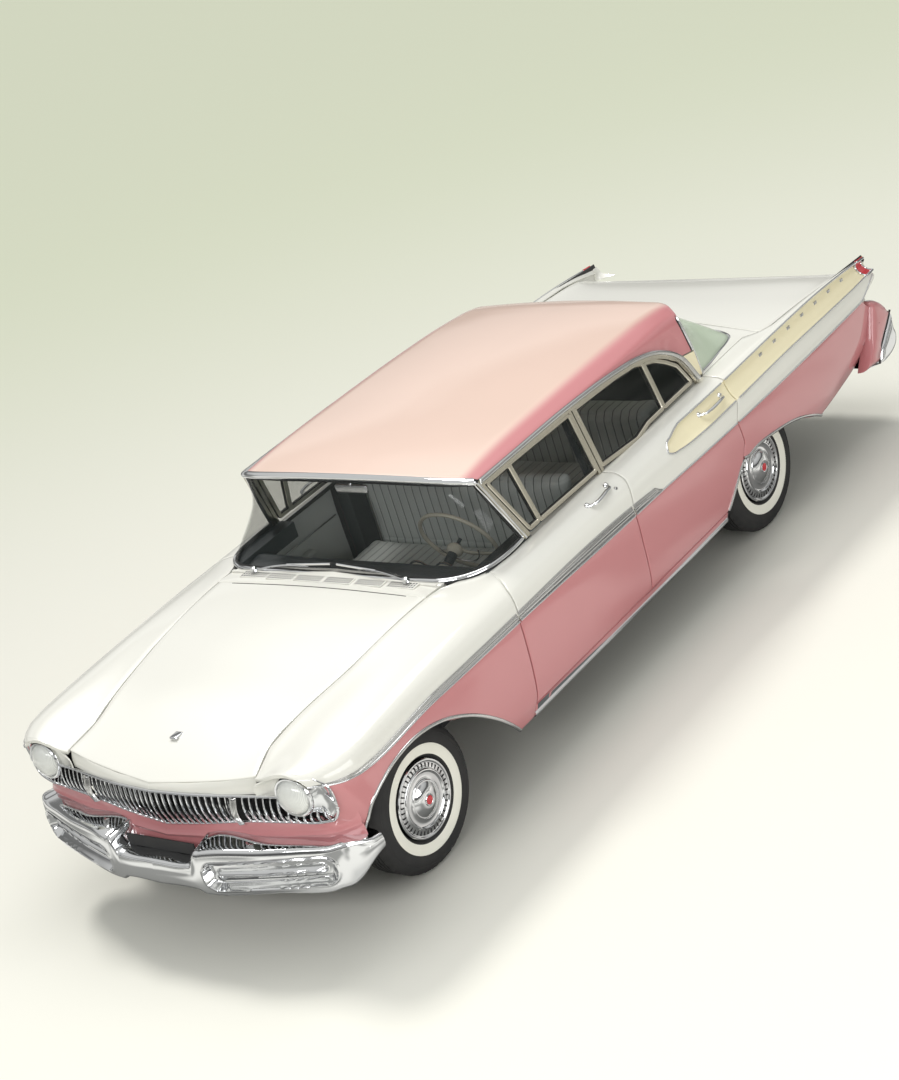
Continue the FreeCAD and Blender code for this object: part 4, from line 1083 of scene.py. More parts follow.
# bright header over the windscreen, and the posts at its sides
header = np.array([(x, y - .002, z + .012) for x, y, z in screenRows[-1]])
sweep(header, roundBar(.034, .010, 4, .012), (0, -.5, 1)).build("headerTrim", [chrome])
postBar = [(-.017, -.010), (.017, -.010), (.017, .010), (-.017, .010)]
sealBar = [(-.012, -.016), (.012, -.016), (.012, .004), (-.012, .004)]
rail = [(-.725, 1.345), (-.447, 1.345), (.061, 1.341), (.457, 1.318), (.633, 1.297), (.801, 1.250),
        (.943, 1.150), (1.003, 1.010)]
for side, s in (("Left", 1), ("Right", -1)):
    post = np.linspace((s * .797, -.596, .985), (s * .727, -.733, 1.345), 8)
    sweep(post, postBar, (s, 0, .2)).build("screenPost" + side, [goldTrim])
    bead = sweep(post + [s * .004, -.006, 0], roundBar(.012, .010, 4, .004), (s, 0, .2))
    bead.build("postBead" + side, [chrome])
    # cream panel at the foot of the rear pillar, raised on a slightly larger bright plate
    corners = np.array([(.772, 1.010, .992), (.772, 1.094, .986), (.748, 1.104, 1.118), (.744, .965, 1.142)])
    for k, (lift, inset) in enumerate(((0, 0), (.003, .014))):
        c = corners.mean(0) + (corners - corners.mean(0)) * (1 - inset * 6)
        grid = np.array([[c[0] * (1 - u) * (1 - v) + c[1] * u * (1 - v) + c[2] * u * v + c[3] * (1 - u) * v
                          for u in np.linspace(0, 1, 12)] for v in np.linspace(0, 1, 8)])
        grid[..., 0] += lift + .010
        panel = shellOf(grid * [s, 1, 1], .024, .002, facing=(s, 0, 0))
        panel.build(f"pillarPanel{side}{k}", [goldPaint if k else goldTrim])
    # drip rail from the windscreen over the doors down to the belt
    line = along(rail, 60, True)
    path = np.stack([s * (.800 - (line[:, 1] - .985) * .2273 + .024), line[:, 0], line[:, 1]], 1)
    sweep(path, roundBar(.026, .014, 5, .012), (s, 0, .35)).build("dripRail" + side, [stainless])
    sweep(path - [s * .010, 0, .022], sealBar, (s, 0, .2)).build("doorSealRail" + side, [goldTrim])


# window frames: openings of each door as (y, z), in the leaning plane of the side glass
windowLoops = {
    "door_front": [[(-.556, 1.006), (-.672, 1.306), (-.494, 1.306), (-.476, 1.006)],
                   [(-.468, 1.004), (-.486, 1.307), (.026, 1.298), (.026, .998)]],
    "door_rear": [[(.082, .998), (.082, 1.300), (.30, 1.292), (.44, 1.286), (.61, 1.270), (.672, 1.252),
                   (.672, 1.004),
                   (.52, 1.000), (.40, .975)],
                  [(.684, 1.004), (.684, 1.244), (.770, 1.220), (.84, 1.178), (.908, 1.124), (.958, 1.008)]],
}
# outer edge of each door's window frame
windowEdges = {
    "door_front": [(-.580, .985), (-.712, 1.330), (.040, 1.322), (.040, .975)],
    "door_rear": [(.066, .975), (.066, 1.322), (.44, 1.306), (.618, 1.290), (.790, 1.244), (.930, 1.142),
                  (.990, 1.000)],
}
frameBar = [(-.011, -.016), (.011, -.016), (.011, .006), (.007, .010), (-.007, .010), (-.011, .006)]
frameSeal = [(-.015, -.008), (.015, -.008), (.015, .003), (-.015, .003)]
edgeBar = [(-.010, -.014), (.010, -.014), (.010, .009), (-.010, .009)]


def leanPlane(points, out=0.0):
    p = np.array(points, float)
    return np.stack([.800 - (p[:, 1] - .985) * .2273 + out, p[:, 0], p[:, 1]], 1)


def cornered(points):
    # a closed loop with its corners rounded
    soft = .014
    p = np.array(points, float)
    out = []
    for i in range(len(p)):
        a, c, b = p[i - 1], p[i], p[(i + 1) % len(p)]
        r = min(soft, np.linalg.norm(a - c) * .45, np.linalg.norm(b - c) * .45)
        q, w = c + unit(a - c) * r, c + unit(b - c) * r
        out += [(1 - u) ** 2 * q + 2 * u * (1 - u) * c + u * u * w for u in np.linspace(0, 1, 4)]
    return np.array(out)


for door, loops in windowLoops.items():
    made, dark = Shape(), Shape()
    for loop in loops:
        made.join(sweep(leanPlane(cornered(loop)), frameBar, (1, 0, .22), True))
        dark.join(sweep(leanPlane(cornered(loop), -.002), frameSeal, (1, 0, .22), True))
    made.join(sweep(leanPlane(along(windowEdges[door], 70)), edgeBar, (1, 0, .22)))
    for side, shape, rubberShape in (("left", made, dark), ("right", made.mirrored(), dark.mirrored())):
        shape.build(door + "Frames" + side, [goldTrim], door + "_" + side)
        rubberShape.build(door + "Seals" + side, [rubber], door + "_" + side)
print("roof and glass made")

def outOf(y, t):
    # the outward direction of the body surface
    e = 1e-3
    a = skin(y + e, t) - skin(y - e, t)
    b = skin(y, np.minimum(t + .02, 6)) - skin(y, t - .02)
    n = unit(np.cross(a, b))
    return np.where((np.sum(n * [1, 0, .5], -1) < 0)[..., None], -n, n)


def sideStrip(name, points, width, height, finish, body="body", count=80, smooth=True):
    # a half-round strip along a (y, z) line of the side, on both sides of the car
    y, t = sideLine(points, count, smooth).T
    up = outOf(y, t)
    sweep(skin(y, t), roundBar(width, height, 5, .003), up).pair(name, [finish], body)


def trimPoints(y0, y1):
    return [(y, float(trimZ(y))) for y in np.linspace(y0, y1, 14)]


# the line between the two colours, cut at each door gap
trimRuns = [("Fender", -2.452, -1.036, "body"), ("FrontDoor", -1.026, -.024, "door_front_{side}"),
            ("RearDoor", -.014, .970, "door_rear_{side}"), ("Quarter", .982, 2.396, "body")]
for name, y0, y1, body in trimRuns:
    sideStrip("trim" + name, trimPoints(y0, y1), .009, .006, chrome, body)
# the chrome line turns up behind the rear quarter's end
sideStrip("quarterEnd", [(2.392, .778), (2.44, .792), (2.52, .820), (2.60, .850)], .007, .005, chrome)

bandWidth = curve((-2.44, .003), (-2.30, .014), (-1.9, .028), (-1.2, .036), (.150, .036), (.186, .033),
                  (.205, .018),
                  (.235, .003))


def ribbedBand(name, y0, y1, body, columns):
    # brushed band with three pressed ribs, from the grille to just behind the front door
    low = tAt(lambda y: trimZ(y) + .0045)
    high = tAt(lambda y: trimZ(y) + .0045 + bandWidth(y))
    y, t = patch([low, high], (14,), flat(y0), flat(y1), columns)
    v = np.linspace(0, 1, 15)[:, None]
    lift = .0012 + .0036 * np.clip(np.sin(math.pi * v) * 4, 0, 1) - .0016 * (np.cos(v * 8 * math.pi) < 0)
    lift = np.where((v < .12) | (v > .88), .0058 * np.clip(np.minimum(v, 1 - v) * 30, .1, 1), lift)
    lift = lift * np.clip(bandWidth(y) / .012, .15, 1)
    rows = skin(y, t) + outOf(y, t) * lift[..., None]
    shellOf(rows, .004, .0005, facing=(1, 0, .4)).pair(name, [stainless], body, angle=25)


ribbedBand("bandFender", -2.44, -1.036, "body", 90)
ribbedBand("bandFrontDoor", -1.026, -.024, "door_front_{side}", 60)
ribbedBand("bandRearDoor", -.012, .235, "door_rear_{side}", 30)

# chrome lips round the rear channel, and its seven small marks
doorPlaces = np.append([0], np.linspace(.01, 1, 30) ** 1.5)      # closer together at the channel's tip
channelRuns = [("Door", .402 + (1.030 - .402) * doorPlaces, "door_rear_{side}"),
               ("Quarter", np.linspace(1.066, 2.60, 24), "body")]
for name, ys, body in channelRuns:
    for edge, line in (("Top", channelTop), ("Low", channelLow)):
        points = [(v, float(line(v))) for v in ys]
        sideStrip("channel" + edge + name, points, .010, .006, chrome, body, smooth=False)


def channelPoint(y, w):
    # a point on the channel's floor; w runs from its lower to its upper edge
    low, top = tAt(channelLow)(np.atleast_1d(y)), tAt(channelTop)(np.atleast_1d(y))
    return shown(np.atleast_1d(y), low * (1 - w) + top * w, True)[0]


marks = Shape()
for y in np.linspace(1.42, 2.34, 7):
    p = channelPoint(y, .60)
    marks.join(softBox(p - [.003, .016, .009], p + [.003, .016, .009], .0025))
marks.pair("channelMarks", [stainless])

# rocker and wheel arch mouldings
sideStrip("rockerTrim", [(-1.075, .327), (-.5, .327), (.30, .328), (.742, .334)], .030, .007, chrome,
          count=60)
sideStrip("frontArchTrim", [(y, z + .006) for y, z in archZ], .018, .008, stainless, count=120)
rearArch = [(y, z + .006) for y, z in [(.958, .570), *rearArchZ[3:]]]
sideStrip("rearArchTrim", rearArch, .016, .007, stainless, count=70)
y, t = sideLine([(.752, .384), (.834, .470), (.911, .539), (.944, .562)], 30).T
up = outOf(y, t)
doorArch = sweep(skin(y, t) + up * .001, roundBar(.016, .006, 5, .003), up)
doorArch.pair("doorArchTrim", [stainless], "door_rear_{side}")


def handle(name, points, body):
    # a pull handle: a bar standing off on two feet
    a = np.linspace(0, 1, 28)
    p = ease([0, .12, .3, .7, .88, 1], points, a)
    shape = sweep(p, circle(.0085, 12, .75), (0, 0, 1), scale=1 + .25 * np.sin(math.pi * a))
    for end in (0, -1):
        centre = np.array(points[end]) - [.006, 0, 0]
        foot = [(0, .012), (.013, .010), (.017, .003), (.017, -.006), (0, -.008)]
        shape.join(lathe(foot, centre, (1, 0, 0), 20))
    shape.pair(name, [chrome], body)


front = skin(np.array([-.235]), atHeight(-.235, .950))[0]
rear = skin(np.array([-.045]), atHeight(-.045, .958))[0]
handle("frontHandle", [front, front + [.024, .016, .004], front + [.032, .05, .008],
                       rear + [.034, -.05, .006], rear + [.026, -.016, .003], rear], "door_front_{side}")
front, rear = channelPoint(.775, .55), channelPoint(.985, .55)
handle("rearHandle", [front, front + [.026, .014, .002], front + [.036, .05, .003],
                      rear + [.036, -.05, .004],
                      rear + [.026, -.014, .002], rear], "door_rear_{side}")
button = skin(np.array([-.028]), atHeight(-.028, .935))[0]
key = lathe([(0, .006), (.008, .005), (.010, 0), (.010, -.004), (0, -.006)], button, (1, 0, .4), 20)
key.pair("keyHole", [chrome], "door_front_{side}")


def tailFin():
    # the red lens fills the last of the channel, with bright ends on the fin's two tips
    w = np.linspace(0, 1, 21)[None, :]
    y = np.linspace(2.536, 2.606, 9)[:, None] + .030 * np.abs(2 * w - 1) ** 2 - .022
    low, top = tAt(channelLow)(y[:, 0])[:, None], tAt(channelTop)(y[:, 0])[:, None]
    t = low * (1 - w) + top * w
    rows = shown(y, t, True) + [.0045, 0, .001]
    bezel = Shape()
    bezel.join(sweep(rows[0] + [.001, -.003, 0], circle(.0045, 8), (1, 0, 0)))
    bezel.join(sweep(rows[-1] + [-.002, .003, 0], circle(.0050, 8), (1, 0, 0)))
    for end in (0, -1):
        bezel.join(sweep(rows[:, end] + [.001, 0, 0], circle(.0060, 8), (1, 0, 0)))
    lenses = shellOf(rows, .010, .001, facing=(1, 0, .2)).pair("tailLens", [redLens])
    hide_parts("tail_lamps")
    bezel.pair("tailBezel", [chrome])


tailFin()


def cowlVent():
    # six white panels on the cowl, each with three rows of slots drawn as dark boxes, painted shade for
    # their openings
    plate, slotShade = Shape(), Shape()
    for k in range(6):
        x = -.4625 + .185 * k
        y = -1.152 + .020 * (abs(x) / .48) ** 2
        z = skin(np.array([y]), atWidth(y, abs(x)))[0][2] + .0045
        plate.join(softBox((x - .084, y - .027, z - .006), (x + .084, y + .027, z + .0015), .0015))
        for i in range(10):
            for j in (-.0165, 0, .0165):
                px = x - .0725 + .145 * i / 9
                slotShade.join(softBox((px - .0047, y + j - .0060, z - .002),
                                   (px + .0047, y + j + .0060, z + .0021),
                                   .0010, steps=1))
    slotShade.build("cowlHoles", [underPaint])
    plate.build("cowlVents", [whitePaint])


cowlVent()


# painted shade: a dark rod lies in the gap behind the hood
gapX = np.linspace(-.545, .545, 61)
gapY = np.full(61, -1.2175)
gapAt = skin(gapY, atWidth(gapY, np.abs(gapX)))
gapAt[:, 0] = gapX
sweep(gapAt + [0, 0, -.0004], circle(.0024, 8), (0, 0, 1)).build("hoodGap", [rubber])


def wiper(side, s):
    base = np.array((s * .479, -1.118, 1.030))
    tip = np.array((s * .150, -1.075, 1.048))
    arm = np.linspace(base, tip, 10)
    arm[:, 2] += .016 * np.sin(np.linspace(0, math.pi, 10))
    made = sweep(arm, circle(.0045, 8), (0, 0, 1))
    cap = [(0, .022), (.012, .020), (.016, .006), (.019, 0), (0, -.006)]
    made.join(lathe(cap, base, (0, -.25, 1), 24))
    blade = np.linspace(tip + [s * .13, -.012, .006], tip + [-s * .13, .014, .010], 12)
    made.join(sweep(blade, [(-.004, 0), (.004, 0), (.003, .007), (-.003, .007)], (0, -.3, 1)))
    made.build("wiper" + side, [chrome])
    edge = [(-.003, -.006), (.003, -.006), (.0015, .003), (-.0015, .003)]
    sweep(blade - [0, 0, .004], edge, (0, -.3, 1)).build("wiperRubber" + side, [rubber])


wiper("Left", 1)
wiper("Right", -1)
# small bare crest on the hood
crestAt = skin(np.array([-2.30]), np.array([6.0]))[0]
plainCrest = softBox(crestAt - [.022, .028, .004], crestAt + [.022, .028, .010], .008)
plainCrest.build("hoodCrest", [chrome], "hood")
print("side trim made")

bumperX = [0, .25, .50, .75, .88, .940, .972, .992, .999]
bumperY = [-2.678, -2.664, -2.604, -2.522, -2.470, -2.425, -2.370, -2.310, -2.262]
bumperTop = curve((0, .500), (.20, .500), (.225, .504), (.255, .560), (.285, .566), (.60, .563), (.88, .552),
                  (.96, .545), (.999, .506))
bumperLow = curve((0, .372), (.20, .370), (.225, .366), (.255, .344), (.285, .340), (.60, .338), (.88, .334),
                  (.96, .362), (.999, .428))


def frontBumper():
    # one pressed surface: the profile carried along the path, pushed in where the long slots are
    far = np.concatenate([[0], np.cumsum(np.hypot(np.diff(bumperX), np.diff(bumperY)))])
    s = np.linspace(0, far[-1], 230)
    path = ease(far, np.stack([bumperX, bumperY], 1), s)
    ahead = unit(np.gradient(path, axis=0))
    out = np.stack([ahead[:, 1], -ahead[:, 0]], 1)
    x = path[:, 0]
    low, top = bumperLow(x), bumperTop(x)
    w = np.linspace(0, 1, 84)
    reach = np.interp(w, [0, .06, .10, .14, .20, .80, .86, .90, .94, 1],
                      [-.070, -.022, -.008, -.002, 0, 0, -.003, -.012, -.030, -.140])
    rise = np.interp(w, [0, .06, .10, .14, .20, .80, .86, .90, .94, 1],
                     [.02, .0, .012, .05, .13, .90, .965, .992, 1.005, 1.05])
    z = low[:, None] + (top - low)[:, None] * rise[None, :]
    d = np.broadcast_to(reach[None, :], z.shape).copy()
    # crowned centre bar and end plates
    d += .010 * np.sin(math.pi * np.clip((w[None, :] - .1) / .8, 0, 1))
    # the slot, a rounded rectangle in (x, z), with a long ridge inside it
    cx, cz, hx, hz, r = .590, .442, .300, .066, .056
    qx, qz = np.abs(x[:, None] - cx) - (hx - r), np.abs(z - cz) - (hz - r)
    inside = r - np.hypot(np.maximum(qx, 0), np.maximum(qz, 0))
    inside = np.where((w[None, :] > .13) & (w[None, :] < .88), inside, -.1)
    lip = np.clip(1 - np.abs(inside + .004) / .010, 0, 1)
    d += .007 * lip - .040 * np.clip(inside / .018, 0, 1) ** .8
    qr = np.hypot(np.maximum(np.abs(x[:, None] - cx) - .235, 0), z - cz)
    d += .026 * np.clip(1 - qr / .022, 0, 1) ** .6
    rows = np.stack([x[:, None] + out[:, None, 0] * d, path[:, 1][:, None] + out[:, None, 1] * d, z], -1)
    rows[0, :, 0] = 0
    half = Shape().grid(rows)
    # back wall so that it reads as folded metal
    back = rows[:, [0, -1]].copy()
    deep = rows[:, [0, -1]].copy()
    deep[..., 1] += .012
    half.grid(np.stack([back[:, 0], deep[:, 0] + [0, .03, .03], deep[:, 1] + [0, .02, -.04], back[:, 1]], 1))
    half.grid(np.stack([rows[-1], rows[-1] * [.985, 1, 1] + [0, .006, 0]], 0))
    half.join(half.mirrored())
    made = half.build("frontBumper", [chrome], angle=50, merge=2e-4)
    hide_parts("front_bumper")
    bolts = Shape()
    for s in (1, -1):
        for y, z in ((-2.335, .478), (-2.305, .460)):
            bolts.join(lathe([(0, .010), (.007, .009), (.011, .005), (.012, 0), (0, -.004)],
                             (s * .985, y, z),
                             (s, -.2, 0), 20))
    bolts.build("frontBumperBolts", [chrome])


frontBumper()


def band(name, top, low, finish, count, steps, push, body="body"):
    # a panel right across, between two lines given as (x, y, z); push brings it forward
    a, b = along(top, count, True), along(low, count, True)
    v = np.linspace(0, 1, steps + 1)[None, :, None]
    rows = a[:, None] * (1 - v) + b[:, None] * v
    rows[..., 1] -= push(v[..., 0])
    shape = shellOf(rows, .012, .0015, facing=(0, -1, 0))
    shape.join(shape.mirrored())
    return shape.build(name, [finish], body, merge=2e-4)


# the hood's front lip drops to the grille's top rail
lipX = np.linspace(0, .574, 12)
lipY = np.interp(lipX, [0, .20, .40, .574], [-2.540, -2.526, -2.494, -2.446])
lipEdge = lipY + .010
lipZ = skin(lipEdge, atWidth(lipEdge, lipX))[:, 2]
lipTop = np.stack([lipX, lipEdge, lipZ - .003], 1)
lipLow = np.stack([lipX, lipY - .008, np.interp(lipX, [0, .25, .45, .574], [.786, .784, .775, .772])], 1)
band("hoodLip", lipTop, lipLow, whitePaint, 60, 8, lambda v: .006 * np.sin(math.pi * v), "hood")
# painted valance under the grille, with a pressed line
valanceTop = [(0, -2.522, .588), (.25, -2.503, .612), (.45, -2.480, .632), (.70, -2.440, .634),
              (.88, -2.385, .640), (.955, -2.300, .640)]
valanceLow = [(0, -2.560, .500), (.25, -2.545, .500), (.45, -2.505, .500), (.70, -2.445, .500),
              (.88, -2.385, .498), (.955, -2.290, .496)]
valance = band("valance", valanceTop, valanceLow, pinkPaint, 80, 16,
               lambda v: .010 * np.clip(1 - np.abs(v - .45) / .12, 0, 1))
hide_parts("front_panel")

lampAt = np.array((.770, -2.452, .781))


def headlamp():
    # lens, its bright ring and the bucket behind it
    ahead = unit((.06, -1, .05))
    lens = lathe([(0, .040), (.030, .037), (.055, .028), (.074, .013), (.083, -.004), (.083, -.012),
                  (0, -.012)],
                 lampAt, ahead, 56)
    ring = lathe([(.080, -.002), (.084, .006), (.091, .007), (.0965, .000), (.0985, -.010), (.096, -.020),
                  (.092, -.060), (.088, -.060), (.086, -.014), (.080, -.010), (.080, -.002)], lampAt,
                 ahead, 56)
    lens.join(lens.mirrored())
    ring.join(ring.mirrored())
    made = lens.build("headlampLenses", [lampGlass])
    ring.build("headlampRings", [chrome])
    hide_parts("headlamps")


headlamp()


def lampSurround():
    # bright bucket running out to the fender's corner, under the painted brow
    a = np.radians(np.linspace(-62, 205, 48))
    ring = lampAt + np.stack([np.cos(a) * .094, np.full(len(a), .012), np.sin(a) * .094], 1)
    corner = along([(.900, -2.395, .660), (.935, -2.392, .700), (.950, -2.398, .770), (.942, -2.405, .822),
                    (.900, -2.425, .862), (.830, -2.446, .888), (.760, -2.455, .894), (.690, -2.458, .872),
                    (.620, -2.464, .842), (.570, -2.472, .815), (.572, -2.470, .768)], 48, True)
    v = np.linspace(0, 1, 9)[None, :, None]
    rows = ring[:, None] * (1 - v) + corner[:, None] * v
    rows[..., 1] += .016 * np.sin(math.pi * v[..., 0])
    cut = 20
    for name, part, finish in (("lampBucket", rows[:cut + 1], chrome), ("lampBrow", rows[cut:], whitePaint)):
        shape = shellOf(part, .006, .001, facing=(0, -1, 0))
        shape.join(shape.mirrored())
        shape.build(name, [finish])


lampSurround()

# dark wall behind the grille, painted shade for the hollow behind the bars, and its bright frame, dividers
# and rails
back = softBox((-.875, -2.380, .610), (.875, -2.370, .790), .003)
back.build("grilleBack", [rubber])
frameTop = [(0, -2.552, .781), (.25, -2.532, .780), (.45, -2.492, .772), (.60, -2.462, .768),
            (.68, -2.455, .772)]
frameLow = [(0, -2.524, .594), (.25, -2.506, .616), (.45, -2.483, .637), (.70, -2.443, .640),
            (.86, -2.412, .642),
            (.915, -2.398, .656), (.940, -2.392, .700), (.936, -2.396, .750), (.912, -2.404, .785)]
for name, line in (("grilleFrameTop", frameTop), ("grilleFrameLow", frameLow)):
    made = sweep(along(line, 90, True), circle(.0085, 10, .8), (0, 0, 1))
    made.join(made.mirrored())
    made.build(name, [chrome])
for s in (-1, 1):
    a = along([(s * .453, -2.506, .770), (s * .452, -2.522, .700), (s * .450, -2.504, .634)], 16, True)
    rows = a[:, None] + np.linspace([-.021, .004, 0], [.021, .004, 0], 9)[None, :]
    rows[..., 1] -= .012 * np.sin(np.linspace(0, math.pi, 9))[None, :]
    shellOf(rows, .012, .002, facing=(0, -1, 0)).build("grilleDivider" + ("L" if s == 1 else "R"),
                                                       [stainless])


def grilleBars():
    # slim curved bars with dark gaps between, standing in the frame
    made = Shape()
    bladeBar = [(-.0035, -.020), (.0035, -.020), (.0055, -.002), (.0028, .0085), (-.0028, .0085),
                (-.0055, -.002)]
    u = np.linspace(0, 1, 9)
    xs = np.concatenate([np.arange(0, .415, .0345), np.arange(.498, .90, .0345)])
    for x in xs:
        top = np.interp(x, [p[0] for p in frameTop] + [.72, .90], [p[2] for p in frameTop] + [.690, .690])
        if x > .66:
            # under and beside the lamp the bars stop at its ring
            span = .100 ** 2 - (x - lampAt[0]) ** 2
            top = lampAt[2] - math.sqrt(span) if span > 0 else .76 - (x - .87) * .9
        low = np.interp(x, [p[0] for p in frameLow], [p[2] for p in frameLow])
        yTop = np.interp(x, [0, .25, .45, .60, .90], [-2.548, -2.528, -2.490, -2.460, -2.385])
        yLow = np.interp(x, [0, .25, .45, .70, .86, .925], [-2.524, -2.506, -2.483, -2.443, -2.402, -2.372])
        y = yLow + (yTop - yLow) * u - .016 * np.sin(math.pi * u)
        bar = sweep(np.stack([np.full(9, x), y, low + (top - low) * u], 1), bladeBar, (0, -1, 0))
        made.join(bar)
        if x > 0:
            made.join(bar.mirrored())
    made = made.build("grilleBars", [chrome], angle=30)
    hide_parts("grille")


grilleBars()
# a dark plate in the middle opening above the bumper, painted shade for the hollow there
softBox((-.21, -2.600, .500), (.21, -2.590, .560), .004).build("centreOpening", [rubber])


def rearBumper():
    profile = along([(2.503, .736), (2.560, .715), (2.620, .669), (2.655, .620), (2.668, .560),
                     (2.668, .520),
                     (2.683, .468), (2.664, .412), (2.590, .372), (2.500, .360), (2.365, .388)], 64, True)
    y, z = np.minimum(profile[:, 0], 2.683), profile[:, 1]
    rows = []
    for x in np.concatenate([np.linspace(0, .90, 46), np.linspace(.91, .955, 6)]):
        f = np.clip((x - .50) / .26, 0, 1)
        tall = .60 + .40 * f * f * (3 - 2 * f)
        rows.append(np.stack([np.full(64, x), y - .012 * (x / .95) ** 4, .362 + (z - .362) * tall], 1))
    half = shellOf(np.array(rows), .004, .001, facing=(0, 1, 0))
    half.join(half.mirrored())
    made = half.build("rearBumper", [chrome], angle=50, merge=2e-4)
    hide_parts("rear_bumper")
    # each end is a crowned painted pod over a bright corner, with a dark seam between
    seam = along([(2.664, .600), (2.600, .545), (2.530, .492), (2.470, .440), (2.440, .378)], 30, True)
    front = along([(2.290, .392), (2.375, .500), (2.432, .620), (2.480, .728)], 26, True)
    outline = np.stack([y - .012, z], 1)
    upper, lower = outline[outline[:, 1] > .605], outline[(outline[:, 1] < .595) & (outline[:, 0] > 2.44)]
    pod = Shape()
    halves = ((np.concatenate([upper, seam, front]), (2.500, .600), 1.0025),
              (np.concatenate([lower, seam[::-1]]), (2.590, .460), 1.0038))
    for finish, (ring, middle, reach) in enumerate(halves):
        # x and the size of the outline there, in to the middle of its crown
        crown = ((.925, 1), (.945, .992), (.962, .975), (.977, .940), (.988, .880), (reach - .006, .78),
                 (reach - .002, .60), (reach, .35), (reach, .02))
        rows = [np.column_stack([np.full(len(ring), x), middle + (ring - middle) * k]) for x, k in crown]
        pod.grid(rows, finish, around=True)
    pod.join(sweep(np.column_stack([np.full(30, .985), seam]), circle(.006, 8), (1, 0, 0), finish=2))
    pod.pair("rearPod", [pinkPaint, chrome, rubber], angle=50, merge=2e-4)
    guards = Shape()
    for s in (-1, 1):
        guards.join(softBox((s * .345 - .032, 2.600, .375), (s * .345 + .032, 2.684, .600), .016))
    guards.build("rearGuards", [chrome])


rearBumper()


def rearWall():
    # painted panel below the lid, the fins' closing faces and the dark return of the quarters
    x = np.linspace(-.905, .905, 61)
    top = np.stack([x, 2.580 - .05 * np.abs(x / .9) ** 4, np.full(61, .700)], 1)
    low = np.stack([x, 2.470 - .03 * np.abs(x / .9) ** 4, np.full(61, .470)], 1)
    v = np.linspace(0, 1, 13)[None, :, None]
    rows = top[:, None] * (1 - v) + low[:, None] * v
    rows[..., 1] -= .02 * np.sin(math.pi * v[..., 0])
    made = shellOf(rows, .012, .002, facing=(0, 1, 0)).build("rearWall", [pinkPaint])
    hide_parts("rear_panel")
    softBox((-.155, 2.560, .585), (.155, 2.572, .690), .004).build("rearPlate", [whitePaint])
    t = np.linspace(1.93, 5.05, 46)
    rim = shown(tailUpper(t), t, True)
    inner = np.stack([np.full(46, .884), np.minimum(rim[:, 1] - .02, 2.59),
                      np.minimum(rim[:, 2], .93) - .01], 1)
    v = np.linspace(0, 1, 6)[None, :, None]
    cap = shellOf(rim[:, None] * (1 - v) + inner[:, None] * v, .004, .001, facing=(0, 1, 0))
    t = np.linspace(0, 2.02, 40)
    rim = skin(curve((0, 2.650), (.6, 2.651), (1.1, 2.621), (1.5, 2.536), (1.75, 2.456), (2.1, 2.388))(t), t)
    inner = rim * [0, 1, 1] + [.830, -.03, 0]
    under = shellOf(rim[:, None] * (1 - v) + inner[:, None] * v - [.002, 0, 0], .004, .001, facing=(0, 1, 0))
    y, z = np.meshgrid(np.linspace(1.70, 2.592, 24), np.linspace(0, 1, 5), indexing="ij")
    edge = skin(y, atWidth(y[:, :1], .892) * np.ones((1, 5)))[..., 2]
    side = shellOf(np.stack([np.full(y.shape, .888), y, .69 + (edge - .012 - .69) * z], -1), .004, .001,
                   facing=(-1, 0, 0))
    for name, shape, finish in (("finCap", cap, whitePaint), ("quarterReturn", under, rubber),
                                ("finInner", side, whitePaint)):
        shape.pair(name, [finish])


rearWall()
print("bumpers and grille made")


def ringGroup():
    # copies of one piece round a circle in the XY plane, each turned to face out
    group = bpy.data.node_groups.new("ringOfPieces", "GeometryNodeTree")
    made = {}
    for name, kind in (("Piece", "Object"), ("Count", "Int"), ("Radius", "Float"), ("Material", "Material")):
        socket = group.interface.new_socket(name, in_out="INPUT", socket_type="NodeSocket" + kind)
        made[name] = socket.identifier
    group.interface.new_socket("Geometry", in_out="OUTPUT", socket_type="NodeSocketGeometry")
    add, wire = group.nodes.new, group.links.new
    given, out = add("NodeGroupInput"), add("NodeGroupOutput")
    ring, piece = add("GeometryNodeMeshCircle"), add("GeometryNodeObjectInfo")
    spread, real = add("GeometryNodeInstanceOnPoints"), add("GeometryNodeRealizeInstances")
    paintIt, index = add("GeometryNodeSetMaterial"), add("GeometryNodeInputIndex")
    part, turn = add("ShaderNodeMath"), add("ShaderNodeCombineXYZ")
    part.operation = "DIVIDE"
    whole = add("ShaderNodeMath")
    whole.operation = "MULTIPLY"
    whole.inputs[1].default_value = 2 * math.pi
    wire(given.outputs["Count"], ring.inputs["Vertices"])
    wire(given.outputs["Radius"], ring.inputs["Radius"])
    wire(given.outputs["Piece"], piece.inputs["Object"])
    wire(ring.outputs[0], spread.inputs["Points"])
    wire(piece.outputs["Geometry"], spread.inputs["Instance"])
    wire(index.outputs[0], part.inputs[0])
    wire(given.outputs["Count"], part.inputs[1])
    wire(part.outputs[0], whole.inputs[0])
    wire(whole.outputs[0], turn.inputs["Z"])
    wire(turn.outputs[0], spread.inputs["Rotation"])
    wire(spread.outputs[0], real.inputs[0])
    wire(real.outputs[0], paintIt.inputs["Geometry"])
    wire(given.outputs["Material"], paintIt.inputs["Material"])
    wire(paintIt.outputs[0], out.inputs[0])
    return group, made


ringTree, ringInput = ringGroup()


